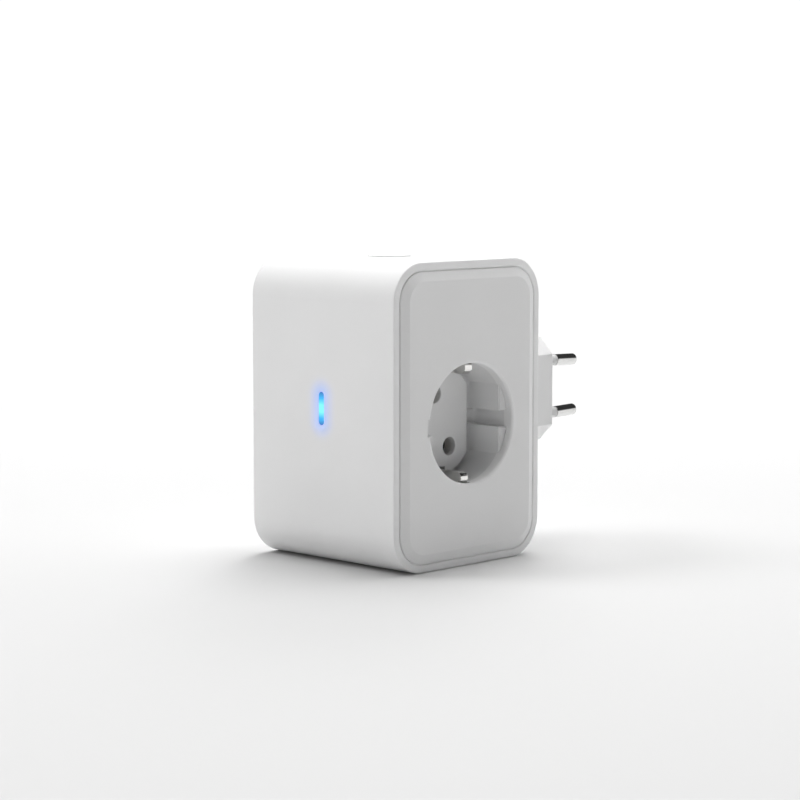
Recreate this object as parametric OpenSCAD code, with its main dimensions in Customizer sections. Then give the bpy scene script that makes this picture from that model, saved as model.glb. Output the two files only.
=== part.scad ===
// Box-shaped smart plug: an earthed outlet on its right side, a two-pin mains plug at its back,
// an indicator slot in its front and a push-button on its top. Millimetres, +Z up, front = -Y.
// The origin is on the floor, under the middle of the whole object with its plug.

/* [Body] */
// Width of the sleeve, from end to end (X)
body_w = 65.5; // [60:0.1:80]
// Depth of the sleeve (Y)
body_d = 68.6; // [66:0.1:80]
// Height of the sleeve (Z)
body_h = 98.8; // [96:0.1:110]
// Radius of the sleeve's long corners
corner_r = 12.7; // [11:0.1:14]
// Thickness of the sleeve's walls
wall = 3.6; // [3.2:0.1:4]
// Thickness of the sleeve's rim around the two end panels
rim_w = 2.6; // [2.2:0.1:3]

/* [End panels] */
// Gap between a panel and the rim
panel_gap = 0.4; // [0.3:0.05:0.6]
// How far a panel's flat stands out of the rim
panel_rise = 1.2; // [0.8:0.1:1.6]
// Width of the bevel around a panel's flat
bevel_w = 3.0; // [2:0.1:4]
// Thickness of a panel under its flat
panel_t = 3.6; // [3.4:0.1:4]

/* [Outlet] */
// Radius of the round recess
socket_r = 19.5; // [19.4:0.05:19.8]
// Height of the recess's axis above the floor
socket_z = 46.2; // [44:0.1:52]
// Place of the recess's axis across the panel, from the middle (Y)
socket_y = 0.4; // [0:0.1:1]
// Depth of the recess's outer channel below the panel's flat
socket_depth = 17.3; // [17:0.1:17.6]
// Depth of the raised plate with the pin holes below the panel's flat
plate_depth = 13.3; // [13:0.1:14]
// Distance by which each of the plate's two round sides is drawn in from the recess's wall
plate_inset = 3.0; // [2.5:0.1:3.5]
// Distance from the axis to the flat guide pads
pad_y = 15.75; // [15.5:0.05:16.5]
// Depth of the guide pads' fronts below the panel's flat
pad_depth = 2.5; // [2:0.1:3]
// Width of the key channel that splits each pad
key_w = 5.4; // [4.5:0.1:6]
// Radius of the two pin holes
pin_hole_r = 2.95; // [2.8:0.05:3.1]
// Distance between the two pin holes
pin_pitch = 19; // [18.9:0.1:19.1]
// Turn of the pin holes from upright, about the axis
pin_turn = 21.7; // [15:0.1:25]
// Turn of the two earth clips from upright, about the axis
earth_turn = -3; // [-4:0.5:4]
// Distance from the axis to the earth clips' contact faces
earth_r = 15.8; // [15.6:0.1:16]
// Width of an earth clip
earth_w = 3.3; // [3:0.1:3.6]

/* [Mains plug] */
// Place of the plug across the body (X)
plug_x = 15; // [14:0.1:15.5]
// Height of the plug's middle
plug_z = 52.5; // [51:0.1:54]
// Length of the plug block behind the body
plug_len = 20; // [19:0.1:21]
// Long side of the plug block
plug_h = 35.3; // [35:0.1:36]
// Short side of the plug block
plug_t = 13.7; // [13:0.1:14]
// Size of the block's corner chamfers
plug_chamfer = 5.6; // [5:0.1:6]
// Length of the pins
pin_len = 19; // [18.5:0.1:19.5]
// Radius of the pins
pin_r = 2.0; // [1.95:0.01:2.05]
// Distance between the pins where they leave the block
pin_root_pitch = 18.6; // [18:0.1:19]
// Distance between the pins at their tips
pin_tip_pitch = 17.5; // [17:0.1:18]
// Length of the insulating sleeves on the pins
sleeve_len = 8.5; // [7:0.1:10]

/* [Button and indicator] */
// Radius of the push-button
button_r = 7.2; // [6:0.1:8]
// How far the button stands out of the top
button_rise = 0.45; // [0.2:0.05:1]
// Travel of the button
button_travel = 0.5; // [0.3:0.05:0.6]
// Place of the button across the body (X)
button_x = -4; // [-5:0.1:-3.5]
// Place of the button along the body, from its middle (Y)
button_y = 1; // [-2:0.1:3]
// Height of the indicator slot's middle
led_z = 51.2; // [48:0.1:54]
// Length of the indicator slot
led_h = 10.7; // [8:0.1:12]
// Width of the indicator slot
led_w = 2.3; // [1.8:0.1:3]

/* [Hidden] */
$fn = 96;
body_y = -(plug_len + pin_len) / 2;
half_w = body_w / 2;
half_d = body_d / 2;
mid_z = body_h / 2;

// Side panels: the flat's place and the back's, measured from the middle of the sleeve
flat_x = half_w + panel_rise;
back_x = flat_x - panel_t;
panel_w = body_d - 2 * (rim_w + panel_gap);
panel_h = body_h - 2 * (rim_w + panel_gap);
panel_r = corner_r - rim_w - panel_gap;
floor_t = 2.0;
floor_x = flat_x - socket_depth;
plate_x = flat_x - plate_depth;
floor_back = floor_x - floor_t;
shell_r = socket_r + 2;
slot_w = earth_w + 1.2;
slot_r = 22.2;
slot_box_w = slot_w + 3.2;
slot_box_r = 23.6;
flange_r = 25.4;
flange_t = 2.2;
well_screw_r = 23.2;

// Posts and their screws: pairs at equal distances from the middle, low and high
post_y = 23.2;
post_z = [11.2, body_h - 11.2];
post_r = 3.5;
stand_y = 23.6;
stand_z = [20.5, 79.5];
stand_r = 2.6;

// Main board: an upright plate, its parts on the side away from the outlet
board_t = 1.6;
board_w = 55;
board_z = [16.5, 83.5];

// Contacts
contact_r = 3.3;
contact_bore = 2.42;
carrier_x = [2.3, 5.3];
boss_y = 12.4;

// Mains plug
flange_in = half_d - wall;
plug_end = half_d + plug_len;
plug_wall = 2.2;
pin_tilt = atan((pin_root_pitch - pin_tip_pitch) / 2 / pin_len);
neck_r = 1.35;

// Relay, in its own place on the board
relay_y = -18.2;
relay_z = 30;
relay_w = 12.7;
relay_l = 29;
relay_h = 15.7;
pivot_u = 13.7;
pivot_z = 21.0;
open_angle = 3.5;
coil_u = 8.8;

// ---- shared shapes ----

module placed() translate([0, body_y, 0]) children();

// Extrudes an outline drawn as (Y, Z) along X, from x0 to x1
module along_x(x0, x1) translate([x0, 0, 0]) rotate([90, 0, 90]) linear_extrude(x1 - x0) children();

// Extrudes an outline drawn as (X, Z) along Y, from y0 to y1
module along_y(y0, y1) translate([0, y1, 0]) rotate([90, 0, 0]) linear_extrude(y1 - y0) children();

// A round bar along X
module bar_x(x0, x1, r) translate([x0, 0, 0]) rotate([0, 90, 0]) cylinder(h = x1 - x0, r = r);

module rounded_rect(w, h, r) {
    square([w - 2 * r, h], center = true);
    square([w, h - 2 * r], center = true);
    for (y = [-1, 1], z = [-1, 1])
        translate([y * (w / 2 - r), z * (h / 2 - r)]) circle(r);
}

// A strip of thickness t along a line of points
module stroke(points, t) {
    for (i = [0 : len(points) - 2]) {
        step = points[i + 1] - points[i];
        translate(points[i]) rotate(atan2(step.y, step.x))
            translate([0, -t / 2]) square([norm(step), t]);
    }
    for (p = points) translate(p) circle(t / 2);
}

// Pill-shaped outline, w wide and h tall
module pill(w, h) {
    square([w, h - w], center = true);
    for (s = [-1, 1]) translate([0, s * (h - w) / 2]) circle(w / 2);
}

// Plug block's outline: a rectangle with four straight chamfers, grown by g
module plug_outline(g) {
    x = plug_t / 2 + g;
    z = plug_h / 2 + g;
    c = plug_chamfer + 0.6 * g;
    polygon([[x, z - c], [x - c, z], [c - x, z], [-x, z - c],
        [-x, c - z], [c - x, -z], [x - c, -z], [x, c - z]]);
}

// Outline raised by a bevel: exact cones at the corners and two wedge-sided blocks between them
module bevelled_rise(w, h, r, rise, inset) {
    for (y = [-1, 1], z = [-1, 1])
        translate([0, y * (w / 2 - r), z * (h / 2 - r)]) rotate([0, 90, 0])
            cylinder(h = rise, r1 = r, r2 = r - inset);
    translate([0, 0, r - h / 2]) linear_extrude(h - 2 * r)
        polygon([[0, -w / 2], [rise, inset - w / 2], [rise, w / 2 - inset], [0, w / 2]]);
    translate([0, w / 2 - r, 0]) rotate([90, 0, 0]) linear_extrude(w - 2 * r)
        polygon([[0, -h / 2], [rise, inset - h / 2], [rise, h / 2 - inset], [0, h / 2]]);
}

// Plate of an end panel, its flat towards +X
module panel_plate() translate([0, 0, mid_z]) {
    along_x(back_x, half_w) rounded_rect(panel_w, panel_h, panel_r);
    translate([half_w, 0, 0]) bevelled_rise(panel_w, panel_h, panel_r, panel_rise, bevel_w);
}

// Puts things at the outlet's axis
module at_outlet() translate([0, socket_y, socket_z]) children();

// Puts things at the four corner posts
module at_posts() for (y = [-post_y, post_y], z = post_z) translate([0, y, z]) children();

// Puts things at the four board stand-offs
module at_stands() for (y = [-stand_y, stand_y], z = stand_z) translate([0, y, z]) children();

// Screw along +X: a domed head behind x = 0, a shank of length l in front of it
module screw_x(head_r, head_h, shank_r, l) {
    difference() {
        bar_x(-head_h, 0, head_r);
        for (a = [0, 90]) rotate([a, 0, 0])
            translate([-head_h - 0.1, -head_r * 0.65, -0.25]) cube([head_h * 0.6, head_r * 1.3, 0.5]);
    }
    bar_x(-0.1, l, shank_r);
}

// Cubic curve through four guide points
function bezier(p, t) = pow(1 - t, 3) * p[0] + 3 * t * pow(1 - t, 2) * p[1]
    + 3 * t * t * (1 - t) * p[2] + pow(t, 3) * p[3];

// Round wire of radius r along that curve
module wire(p, r) {
    rings = 24;
    sides = 8;
    points = [for (i = [0 : rings])
        let (c = bezier(p, i / rings),
            d = bezier(p, min(1, i / rings + 0.01)) - bezier(p, max(0, i / rings - 0.01)),
            u = cross(d, [0, 0, 1]) / norm(cross(d, [0, 0, 1])),
            v = cross(u, d) / norm(d))
        for (k = [0 : sides - 1])
            c + r * (cos(360 * k / sides) * u + sin(360 * k / sides) * v)];
    polyhedron(points, [
        [for (k = [0 : sides - 1]) sides - 1 - k],
        for (i = [0 : rings - 1], k = [0 : sides - 1])
            [i * sides + k, i * sides + (k + 1) % sides,
             (i + 1) * sides + (k + 1) % sides, (i + 1) * sides + k],
        [for (k = [0 : sides - 1]) rings * sides + k]], convexity = 4);
}

// ---- casing ----

module outer_sleeve() color("white") placed() difference() {
    translate([0, 0, mid_z]) difference() {
        along_x(-half_w, half_w) rounded_rect(body_d, body_h, corner_r);
        along_x(-half_w - 1, half_w + 1)
            rounded_rect(body_d - 2 * wall, body_h - 2 * wall, corner_r - wall);
        for (s = [0, 1]) mirror([s, 0, 0]) along_x(back_x - 0.1, half_w + 1)
            rounded_rect(body_d - 2 * rim_w, body_h - 2 * rim_w, corner_r - rim_w);
    }
    translate([0, 0, led_z]) along_y(-half_d - 1, wall - half_d + 1) pill(led_w + 0.1, led_h + 0.1);
    translate([button_x, button_y, body_h - wall - 1]) cylinder(h = wall + 2, r = button_r + 0.2);
    translate([plug_x, 0, plug_z]) along_y(half_d - wall - 1, half_d + 1) plug_outline(0.1);
}

module socket_panel() color("whitesmoke") placed() difference() {
    union() {
        panel_plate();
        at_posts() bar_x(1.6, back_x + 0.5, post_r);
        at_stands() bar_x(0, back_x + 0.5, stand_r);
    }
    at_outlet() {
        bar_x(back_x - 1, flat_x + 1, socket_r);
        translate([flat_x - 0.7, 0, 0]) rotate([0, 90, 0])
            cylinder(h = 1.4, r1 = socket_r, r2 = socket_r + 1.4);
        translate([back_x - 1, -socket_r - 0.6, -key_w / 2 - 0.2])
            cube([panel_t + 2, 2, key_w + 0.4]);
        for (a = [0, 180]) rotate([a + earth_turn, 0, 0])
            translate([back_x - 1, -slot_w / 2, 0]) cube([panel_t - 0.6, slot_w, slot_r]);
        for (a = [90, 210, 330]) rotate([a, 0, 0]) translate([0, 0, well_screw_r])
            bar_x(back_x - 1, back_x + 2.2, 0.85);
    }
    at_posts() bar_x(0, 16, 1.3);
    at_stands() bar_x(-1, 8, 0.9);
}

module end_cover() color("whitesmoke") placed() mirror([1, 0, 0]) difference() {
    union() {
        panel_plate();
        at_posts() bar_x(-1.4, back_x + 0.5, post_r);
    }
    at_posts() {
        bar_x(9, flat_x + 1, 2.9);
        bar_x(-2, 10, 1.5);
    }
}

module cover_screws() color("silver") placed() at_posts()
    translate([-9, 0, 0]) screw_x(2.7, 2, 1.3, 22);

// ---- outlet ----

module socket_well() color("white") placed() at_outlet() difference() {
    union() {
        bar_x(floor_back, back_x, shell_r);
        bar_x(back_x - flange_t, back_x, flange_r);
        for (a = [0, 180]) rotate([a + earth_turn, 0, 0])
            translate([floor_back + 0.4, -slot_box_w / 2, 0])
                cube([back_x - floor_back - 0.9, slot_box_w, slot_box_r]);
        for (s = [-1, 1]) translate([0, s * boss_y, 0]) bar_x(carrier_x[1], floor_back + 0.5, 2.4);
        intersection() {
            bar_x(back_x - 0.5, flat_x - pad_depth, socket_r - 0.15);
            for (s = [0, 1]) mirror([0, s, 0]) translate([back_x - 1, pad_y, -socket_r])
                cube([panel_t, socket_r, 2 * socket_r]);
        }
    }
    difference() {
        bar_x(floor_x, flat_x, socket_r);
        for (s = [0, 1]) mirror([0, s, 0]) difference() {
            translate([floor_x - 1, pad_y, -socket_r - 1])
                cube([socket_depth + 2, socket_r, 2 * socket_r + 2]);
            translate([floor_x - 2, pad_y - 1, -key_w / 2])
                cube([socket_depth + 4, socket_r, key_w]);
        }
        intersection() {
            translate([0, -plate_inset, 0]) bar_x(floor_x - 1, plate_x, socket_r);
            translate([0, plate_inset, 0]) bar_x(floor_x - 2, plate_x + 1, socket_r);
            translate([floor_x - 3, plate_inset - pad_y, -socket_r])
                cube([socket_depth, 2 * (pad_y - plate_inset), 2 * socket_r]);
        }
    }
    for (s = [-1, 1]) rotate([pin_turn, 0, 0]) translate([0, 0, s * pin_pitch / 2])
        bar_x(floor_back - 1, plate_x + 1, pin_hole_r);
    for (a = [0, 180]) rotate([a + earth_turn, 0, 0])
        translate([floor_back - 1, -slot_w / 2, earth_r - 0.6])
            cube([socket_depth + 4, slot_w, slot_r - earth_r + 0.6]);
    for (s = [-1, 1]) translate([0, s * boss_y, 0]) bar_x(carrier_x[1] - 1, floor_back + 0.6, 0.8);
    for (a = [90, 210, 330]) rotate([a, 0, 0]) translate([0, 0, well_screw_r])
        bar_x(back_x - flange_t - 1, back_x + 1, 1.1);
}

module well_screws() color("silver") placed() at_outlet()
    for (a = [90, 210, 330]) rotate([a, 0, 0])
        translate([back_x - flange_t, 0, well_screw_r]) screw_x(1.6, 1.1, 0.85, 4);

module contact_carrier() color("gainsboro") placed() at_outlet() difference() {
    union() {
        bar_x(carrier_x[0], carrier_x[1], 17);
        for (s = [-1, 1]) rotate([pin_turn, 0, 0]) translate([0, 0, s * pin_pitch / 2])
            bar_x(carrier_x[0], floor_back - 0.1, contact_r + 1.3);
    }
    for (s = [-1, 1]) rotate([pin_turn, 0, 0]) translate([0, 0, s * pin_pitch / 2])
        bar_x(carrier_x[0] - 1, floor_back + 1, contact_r + 0.2);
    for (s = [-1, 1]) translate([0, s * boss_y, 0]) bar_x(carrier_x[0] - 1, carrier_x[1] + 1, 1.1);
}

module carrier_screws() color("silver") placed() at_outlet()
    for (s = [-1, 1]) translate([carrier_x[0], s * boss_y, 0]) screw_x(2, 1.3, 0.8, 7.5);

// Sprung tube for one pin of a plug, with a collar behind the carrier and a tail to the board
module pin_contact(s) placed() at_outlet() rotate([pin_turn, 0, 0])
    translate([0, 0, s * pin_pitch / 2]) {
        difference() {
            union() {
                bar_x(carrier_x[0] - 0.8, floor_back - 0.3, contact_r);
                bar_x(carrier_x[0] - 0.8, carrier_x[0], contact_r + 1);
            }
            bar_x(carrier_x[0] - 0.5, floor_back + 1, contact_bore);
            for (a = [0, 60, 120]) rotate([a, 0, 0])
                translate([carrier_x[0] + 1.6, -contact_r - 1, -0.3]) cube([12, 2 * contact_r + 2, 0.6]);
        }
        translate([-board_t - 1, -2, -0.4]) cube([carrier_x[0] + board_t + 0.35, 4, 0.8]);
    }

module live_contact() color("goldenrod") pin_contact(1);

module neutral_contact() color("goldenrod") pin_contact(-1);

module earth_strap() color("silver") placed() at_outlet() {
    difference() {
        bar_x(floor_back - 1, floor_back - 0.2, 18);
        bar_x(floor_back - 2, floor_back + 1, 15.4);
    }
    for (a = [0, 180]) rotate([a + earth_turn, 0, 0])
        translate([floor_back - 1, -earth_w / 2, 15.6]) cube([0.8, earth_w, 5]);
}

// Sprung earth contact at angle a from upright: a folded strip with two cheeks
module earth_clip(a) placed() at_outlet() rotate([a + earth_turn, 0, 0]) {
    root_x = floor_back + 0.1;
    front_x = flat_x - 2.5;
    mid_r = earth_r + 0.3;
    translate([0, earth_w / 2, 0]) rotate([90, 0, 0]) linear_extrude(earth_w)
        stroke([[root_x + 0.3, 17.6], [root_x + 0.3, mid_r], [front_x - 1.1, mid_r],
            [front_x - 0.3, mid_r + 0.8], [front_x - 0.5, 18.8], [front_x - 1.3, 20.2]], 0.6);
    for (y = [-earth_w / 2, earth_w / 2 - 0.5]) translate([0, y + 0.5, 0]) rotate([90, 0, 0])
        linear_extrude(0.5) polygon([[root_x + 2, mid_r], [front_x - 1.1, mid_r],
            [front_x - 0.4, mid_r + 0.7], [front_x - 0.7, 18.7], [front_x - 1.6, 19.4],
            [root_x + 2, 19.4]]);
}

module earth_clip_top() color("lightgray") earth_clip(0);

module earth_clip_bottom() color("lightgray") earth_clip(180);

// ---- mains plug ----

// Puts things at a pin's root, its axis along +Z of the children; s is 1 for the upper pin
module at_pin(s) translate([plug_x, plug_end, plug_z + s * pin_root_pitch / 2])
    rotate([-90 + (-s) * pin_tilt, 0, 0]) children();

module plug_body() color("whitesmoke") placed() difference() {
    translate([plug_x, 0, plug_z]) {
        along_y(flange_in - 0.1, plug_end) plug_outline(0);
        along_y(flange_in - 2.5, flange_in - 0.1) plug_outline(2.4);
    }
    translate([plug_x, 0, plug_z]) along_y(flange_in - 4, plug_end - 3.5) plug_outline(-plug_wall);
    for (s = [-1, 1]) at_pin(s) translate([0, 0, -5]) cylinder(h = 6, r = neck_r + 0.3);
}

// Pin with a waist under its sleeve, a collar inside the block and a cup for its wire
module plug_pin(s) placed() at_pin(s) difference() {
    union() {
        rotate_extrude() {
            square([pin_r - 0.9, pin_len]);
            translate([0, sleeve_len]) square([pin_r, pin_len - sleeve_len - 0.9]);
            translate([pin_r - 0.9, pin_len - 0.9]) circle(0.9);
        }
        translate([0, 0, -3.8]) cylinder(h = sleeve_len + 4, r = neck_r);
        translate([0, 0, -3.45]) cylinder(h = 3.4, r = neck_r + 0.27);
        translate([0, 0, -9]) cylinder(h = 5.35, r = 1.65);
        translate([0, 0, -5]) cylinder(h = 1.3, r = 2.6);
    }
    translate([0, 0, -10]) cylinder(h = 4, r = 1.25);
}

module plug_pin_live() color("silver") plug_pin(1);

module plug_pin_neutral() color("silver") plug_pin(-1);

module pin_sleeves() color("gainsboro") placed() for (s = [-1, 1]) at_pin(s) difference() {
    translate([0, 0, 0.08]) cylinder(h = sleeve_len - 0.08, r = pin_r - 0.2);
    translate([0, 0, -1]) cylinder(h = sleeve_len + 2, r = neck_r);
}

// Wire from a pin's cup to the main board
module supply_wire(s) placed() {
    cup = [plug_x, plug_end - 8, plug_z + s * (pin_root_pitch / 2 + 0.2)];
    wire([cup, cup - [0, 20, 0], [plug_x, 18, plug_z + s * 10], [0.1, 20, plug_z + s * 12]], 1.1);
}

module live_wire() color("saddlebrown") supply_wire(1);

module neutral_wire() color("steelblue") supply_wire(-1);

// ---- electronics ----

// Puts things on the board's parts side; x there is the height above the board
module on_board(y, z) placed() translate([-board_t, y, z]) mirror([1, 0, 0]) children();

module board_block(h, w, l) translate([0, -w / 2, -l / 2]) cube([h, w, l]);

module main_board() color("darkgreen") placed() difference() {
    translate([-board_t, -board_w / 2, board_z[0]]) cube([board_t, board_w, board_z[1] - board_z[0]]);
    at_stands() bar_x(-board_t - 1, 1, 1.2);
    at_outlet() for (s = [-1, 1]) rotate([pin_turn, 0, 0]) translate([0, 0, s * pin_pitch / 2])
        translate([-board_t - 1, -2.2, -0.6]) cube([board_t + 2, 4.4, 1.2]);
}

module board_screws() color("silver") placed() at_stands()
    translate([-board_t, 0, 0]) screw_x(2.1, 1.3, 0.9, 8);

module relay_base() color("dimgray") on_board(relay_y, relay_z)
    translate([0, -relay_w / 2, 0]) cube([1.4, relay_w, relay_l]);

module relay_cover() color("dodgerblue") on_board(relay_y, relay_z) difference() {
    translate([1.4, -relay_w / 2, 0]) cube([relay_h - 1.4, relay_w, relay_l]);
    translate([1, 0.8 - relay_w / 2, 0.8]) cube([relay_h - 1.8, relay_w - 1.6, relay_l - 1.6]);
}

module relay_yoke() color("silver") on_board(relay_y, relay_z) {
    translate([13.2, -3.5, 1.6]) cube([1, 7, pivot_z - 1.7]);
    translate([4.5, -3.5, 1.6]) cube([9, 7, 1.2]);
    translate([coil_u, 0, 2]) cylinder(h = pivot_z - 3, r = 1.8);
    translate([coil_u, 0, pivot_z - 1.1]) cylinder(h = 1, r = 3.4);
}

module relay_bobbin() color("black") on_board(relay_y, relay_z) difference() {
    union() {
        translate([coil_u, 0, 2.9]) cylinder(h = pivot_z - 4.1, r = 2.5);
        for (z = [2.9, pivot_z - 2.2])
            translate([coil_u - 4.3, -4.3, z]) cube([8.6, 8.6, 1]);
    }
    translate([coil_u, 0, 2]) cylinder(h = pivot_z, r = 1.85);
}

module relay_winding() color("chocolate") on_board(relay_y, relay_z) difference() {
    translate([coil_u, 0, 3.95]) cylinder(h = pivot_z - 6.2, r = 4.1);
    translate([coil_u, 0, 3]) cylinder(h = pivot_z, r = 2.55);
}

// Moving plate of the relay with its contact, drawn open
module relay_armature() color("lightgray") on_board(relay_y, relay_z)
    translate([pivot_u, 0, pivot_z + 0.5]) rotate([0, open_angle, 0]) {
        translate([2 - pivot_u, -3.5, -0.5]) cube([pivot_u - 2, 7, 1]);
        rotate([90, 0, 0]) cylinder(h = 7, r = 0.5, center = true);
        translate([2.9 - pivot_u, 0, -1]) cylinder(h = 0.7, r = 1);
    }

module relay_contact() color("goldenrod") on_board(relay_y, relay_z) {
    translate([1.4, -2.5, pivot_z - 1.9]) cube([2.8, 5, 0.8]);
    translate([2.9, 0, pivot_z - 1.2]) cylinder(h = 0.6, r = 1);
}

module transformer_core() color("dimgray") on_board(4, 31) difference() {
    translate([1.5, -7, -6.5]) cube([12, 14, 13]);
    for (s = [-1, 1]) translate([4, s * 3.4 - 1.7, -8]) cube([7, 3.4, 16]);
}

module transformer_coil() color("gold") on_board(4, 31) difference() {
    translate([4.05, -5.05, -9]) cube([6.9, 10.1, 18]);
    translate([3, -1.75, -6.55]) cube([9, 3.5, 13.1]);
}

module bulk_capacitors() color("black") for (y = [-4.5, 5.5]) on_board(y, 50) {
    bar_x(0, 15, 4);
    bar_x(15, 15.4, 3.5);
}

module film_capacitor() color("khaki") on_board(18.5, 34) board_block(13, 7.5, 17.5);

module filter_choke() color("chocolate") on_board(6, 64) {
    bar_x(0, 1, 4.5);
    bar_x(1, 9, 3.8);
    bar_x(9, 10, 4.5);
}

module surge_varistor() color("royalblue") on_board(18, 50) translate([6.5, 0, -2])
    cylinder(h = 4, r = 5);

module mains_fuse() color("sienna") on_board(18.5, 60) bar_x(0, 8, 3.2);

module bridge_rectifier() color("black") on_board(-7.5, 38) board_block(2.6, 5, 6.4);

module meter_shunt() color("goldenrod") on_board(18, 71) {
    for (y = [-4, 3.2]) translate([0, y, -1.5]) cube([5, 0.8, 3]);
    translate([4.2, -4, -1.5]) cube([0.8, 8, 3]);
}

module radio_board() color("darkslategray") on_board(-12.8, 69) translate([0.2, 0, 0])
    board_block(0.8, 16, 18);

module radio_shield() color("silver") on_board(-12.8, 66.3) translate([1, 0, 0])
    board_block(2.2, 13, 11.6);

module status_led() color("deepskyblue") on_board(1 - board_w / 2, led_z)
    board_block(2.6, 1.8, 5);

module light_pipe() color("lightcyan") placed() translate([0, 0, led_z]) {
    along_y(-half_d, wall - half_d + 0.1) pill(led_w, led_h);
    along_y(wall - half_d + 0.1, wall - half_d + 1.2) pill(led_w + 2.4, led_h + 2.4);
    along_y(wall - half_d + 1.2, -board_w / 2 - 0.1) pill(led_w, led_h);
}

// ---- button ----

module at_button() placed() translate([button_x, button_y, 0]) children();

module button_cap() color("white") at_button() {
    translate([0, 0, body_h - wall - 1.2]) cylinder(h = 1.1, r = button_r + 1.2);
    translate([0, 0, body_h - wall - 0.2]) cylinder(h = wall + 0.2 + button_rise, r = button_r);
    translate([0, 0, board_z[1] + 1.6]) cylinder(h = body_h - wall - board_z[1] - 2.7, r = 2);
}

module switch_plunger() color("dimgray") at_button()
    translate([0, 0, board_z[1] - 1.4]) cylinder(h = 3, r = 1.4);

module tact_switch() color("black") at_button() difference() {
    translate([-2.2, -3, board_z[1] - 4]) cube([4.4, 6, 3.7]);
    translate([0, 0, board_z[1] - 2.3]) cylinder(h = 3, r = 1.6);
}

outer_sleeve();
socket_panel();
end_cover();
cover_screws();
socket_well();
well_screws();
contact_carrier();
carrier_screws();
live_contact();
neutral_contact();
earth_strap();
earth_clip_top();
earth_clip_bottom();
plug_body();
plug_pin_live();
plug_pin_neutral();
pin_sleeves();
live_wire();
neutral_wire();
main_board();
board_screws();
relay_base();
relay_cover();
relay_yoke();
relay_bobbin();
relay_winding();
relay_armature();
relay_contact();
transformer_core();
transformer_coil();
bulk_capacitors();
film_capacitor();
filter_choke();
surge_varistor();
mains_fuse();
bridge_rectifier();
meter_shunt();
radio_board();
radio_shield();
status_led();
light_pipe();
button_cap();
switch_plunger();
tact_switch();
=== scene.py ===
import math

import bmesh
import bpy
from mathutils import Matrix, Vector


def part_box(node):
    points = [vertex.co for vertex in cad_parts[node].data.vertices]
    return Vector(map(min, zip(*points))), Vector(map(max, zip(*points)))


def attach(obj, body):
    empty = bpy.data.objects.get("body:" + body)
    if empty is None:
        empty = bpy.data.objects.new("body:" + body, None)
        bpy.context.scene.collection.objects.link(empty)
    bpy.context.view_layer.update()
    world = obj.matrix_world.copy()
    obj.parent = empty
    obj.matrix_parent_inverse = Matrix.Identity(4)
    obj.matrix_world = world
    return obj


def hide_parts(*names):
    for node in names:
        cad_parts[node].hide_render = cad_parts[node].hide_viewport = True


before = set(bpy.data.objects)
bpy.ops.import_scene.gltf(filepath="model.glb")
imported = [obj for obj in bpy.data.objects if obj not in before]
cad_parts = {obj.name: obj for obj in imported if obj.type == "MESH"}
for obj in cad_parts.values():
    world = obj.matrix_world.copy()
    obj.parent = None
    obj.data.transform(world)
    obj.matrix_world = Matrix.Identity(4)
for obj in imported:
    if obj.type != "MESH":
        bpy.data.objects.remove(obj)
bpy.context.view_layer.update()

# ---- Studio ----
# A white sweep of floor under soft light from above, behind and the left front. The camera
# stands low in front of the right-hand corner, so that the lit slot and the outlet both show.
mm = 0.001
sleeve_low, sleeve_high = [Vector(corner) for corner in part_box("outer_sleeve")]
sleeve_middle = (sleeve_low + sleeve_high) / 2
sleeve_size = sleeve_high - sleeve_low

azimuth = math.radians(44.34)
elevation = math.radians(6.13)
camera_distance = 781.2 * mm
aim_height = 51.3 * mm
aim_aside = 1.34 * mm
back = Vector((math.sin(azimuth) * math.cos(elevation), -math.cos(azimuth) * math.cos(elevation),
               math.sin(elevation)))
right = Vector((math.cos(azimuth), math.sin(azimuth), 0))
aim = Vector((0, sleeve_middle.y, aim_height)) + right * aim_aside
camera = bpy.data.objects.new("camera", bpy.data.cameras.new("camera"))
camera.data.sensor_width = 36
camera.data.lens = 106
camera.data.clip_start = 0.01
camera.data.dof.use_dof = False
camera.matrix_world = (Matrix.Translation(aim + back * camera_distance)
                       @ Matrix((right, back.cross(right), back)).transposed().to_4x4())
bpy.context.scene.collection.objects.link(camera)
bpy.context.scene.camera = camera
bpy.context.scene.view_settings.view_transform = "Standard"
bpy.context.scene.view_settings.look = "None"


def node(tree, kind, values=None, links=None, **settings):
    """One node of a tree with its settings, socket values and incoming links."""
    made = tree.nodes.new(kind)
    for key, value in settings.items():
        setattr(made, key, value)
    for key, value in (values or {}).items():
        made.inputs[key].default_value = value
    for key, source in (links or {}).items():
        tree.links.new(source, made.inputs[key])
    return made


# The room is dim all round and brighter on three sides. What shines in metal and gloss has its
# own brightness, pale near the floor and dark above, and plain white is seen behind the floor.
room_even = 0.03
room_sides = [((-1, 0, 0), 0.75), ((0, 1, 0), 1.65), ((0, -1, 0), 0.33)]
room_shine_levels = {"From Min": 0.12, "From Max": 0.30, "To Min": 0.88, "To Max": 0.03}
room_seen_level = 1.05
world = bpy.data.worlds.new("white_room")
world.use_nodes = True
room = world.node_tree
room_light = room.nodes["Background"]
room_light.inputs["Color"].default_value = (1, 1, 1, 1)
room_towards = node(room, "ShaderNodeTexCoord").outputs["Generated"]
room_level = None
for side_towards, side_level in room_sides:
    facing_side = node(room, "ShaderNodeVectorMath", {1: side_towards}, {0: room_towards},
                       operation="DOT_PRODUCT")
    ahead = node(room, "ShaderNodeMath", {1: 0}, {0: facing_side.outputs["Value"]},
                 operation="MAXIMUM").outputs[0]
    lobe = node(room, "ShaderNodeMath", links={0: ahead, 1: ahead}, operation="MULTIPLY")
    added = node(room, "ShaderNodeMath", {1: side_level, 2: room_even}, {0: lobe.outputs[0]},
                 operation="MULTIPLY_ADD")
    if room_level:
        room.links.new(room_level, added.inputs[2])
    room_level = added.outputs[0]
room_seen = node(room, "ShaderNodeBackground",
                 {"Color": (1, 1, 1, 1), "Strength": room_seen_level})
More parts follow.
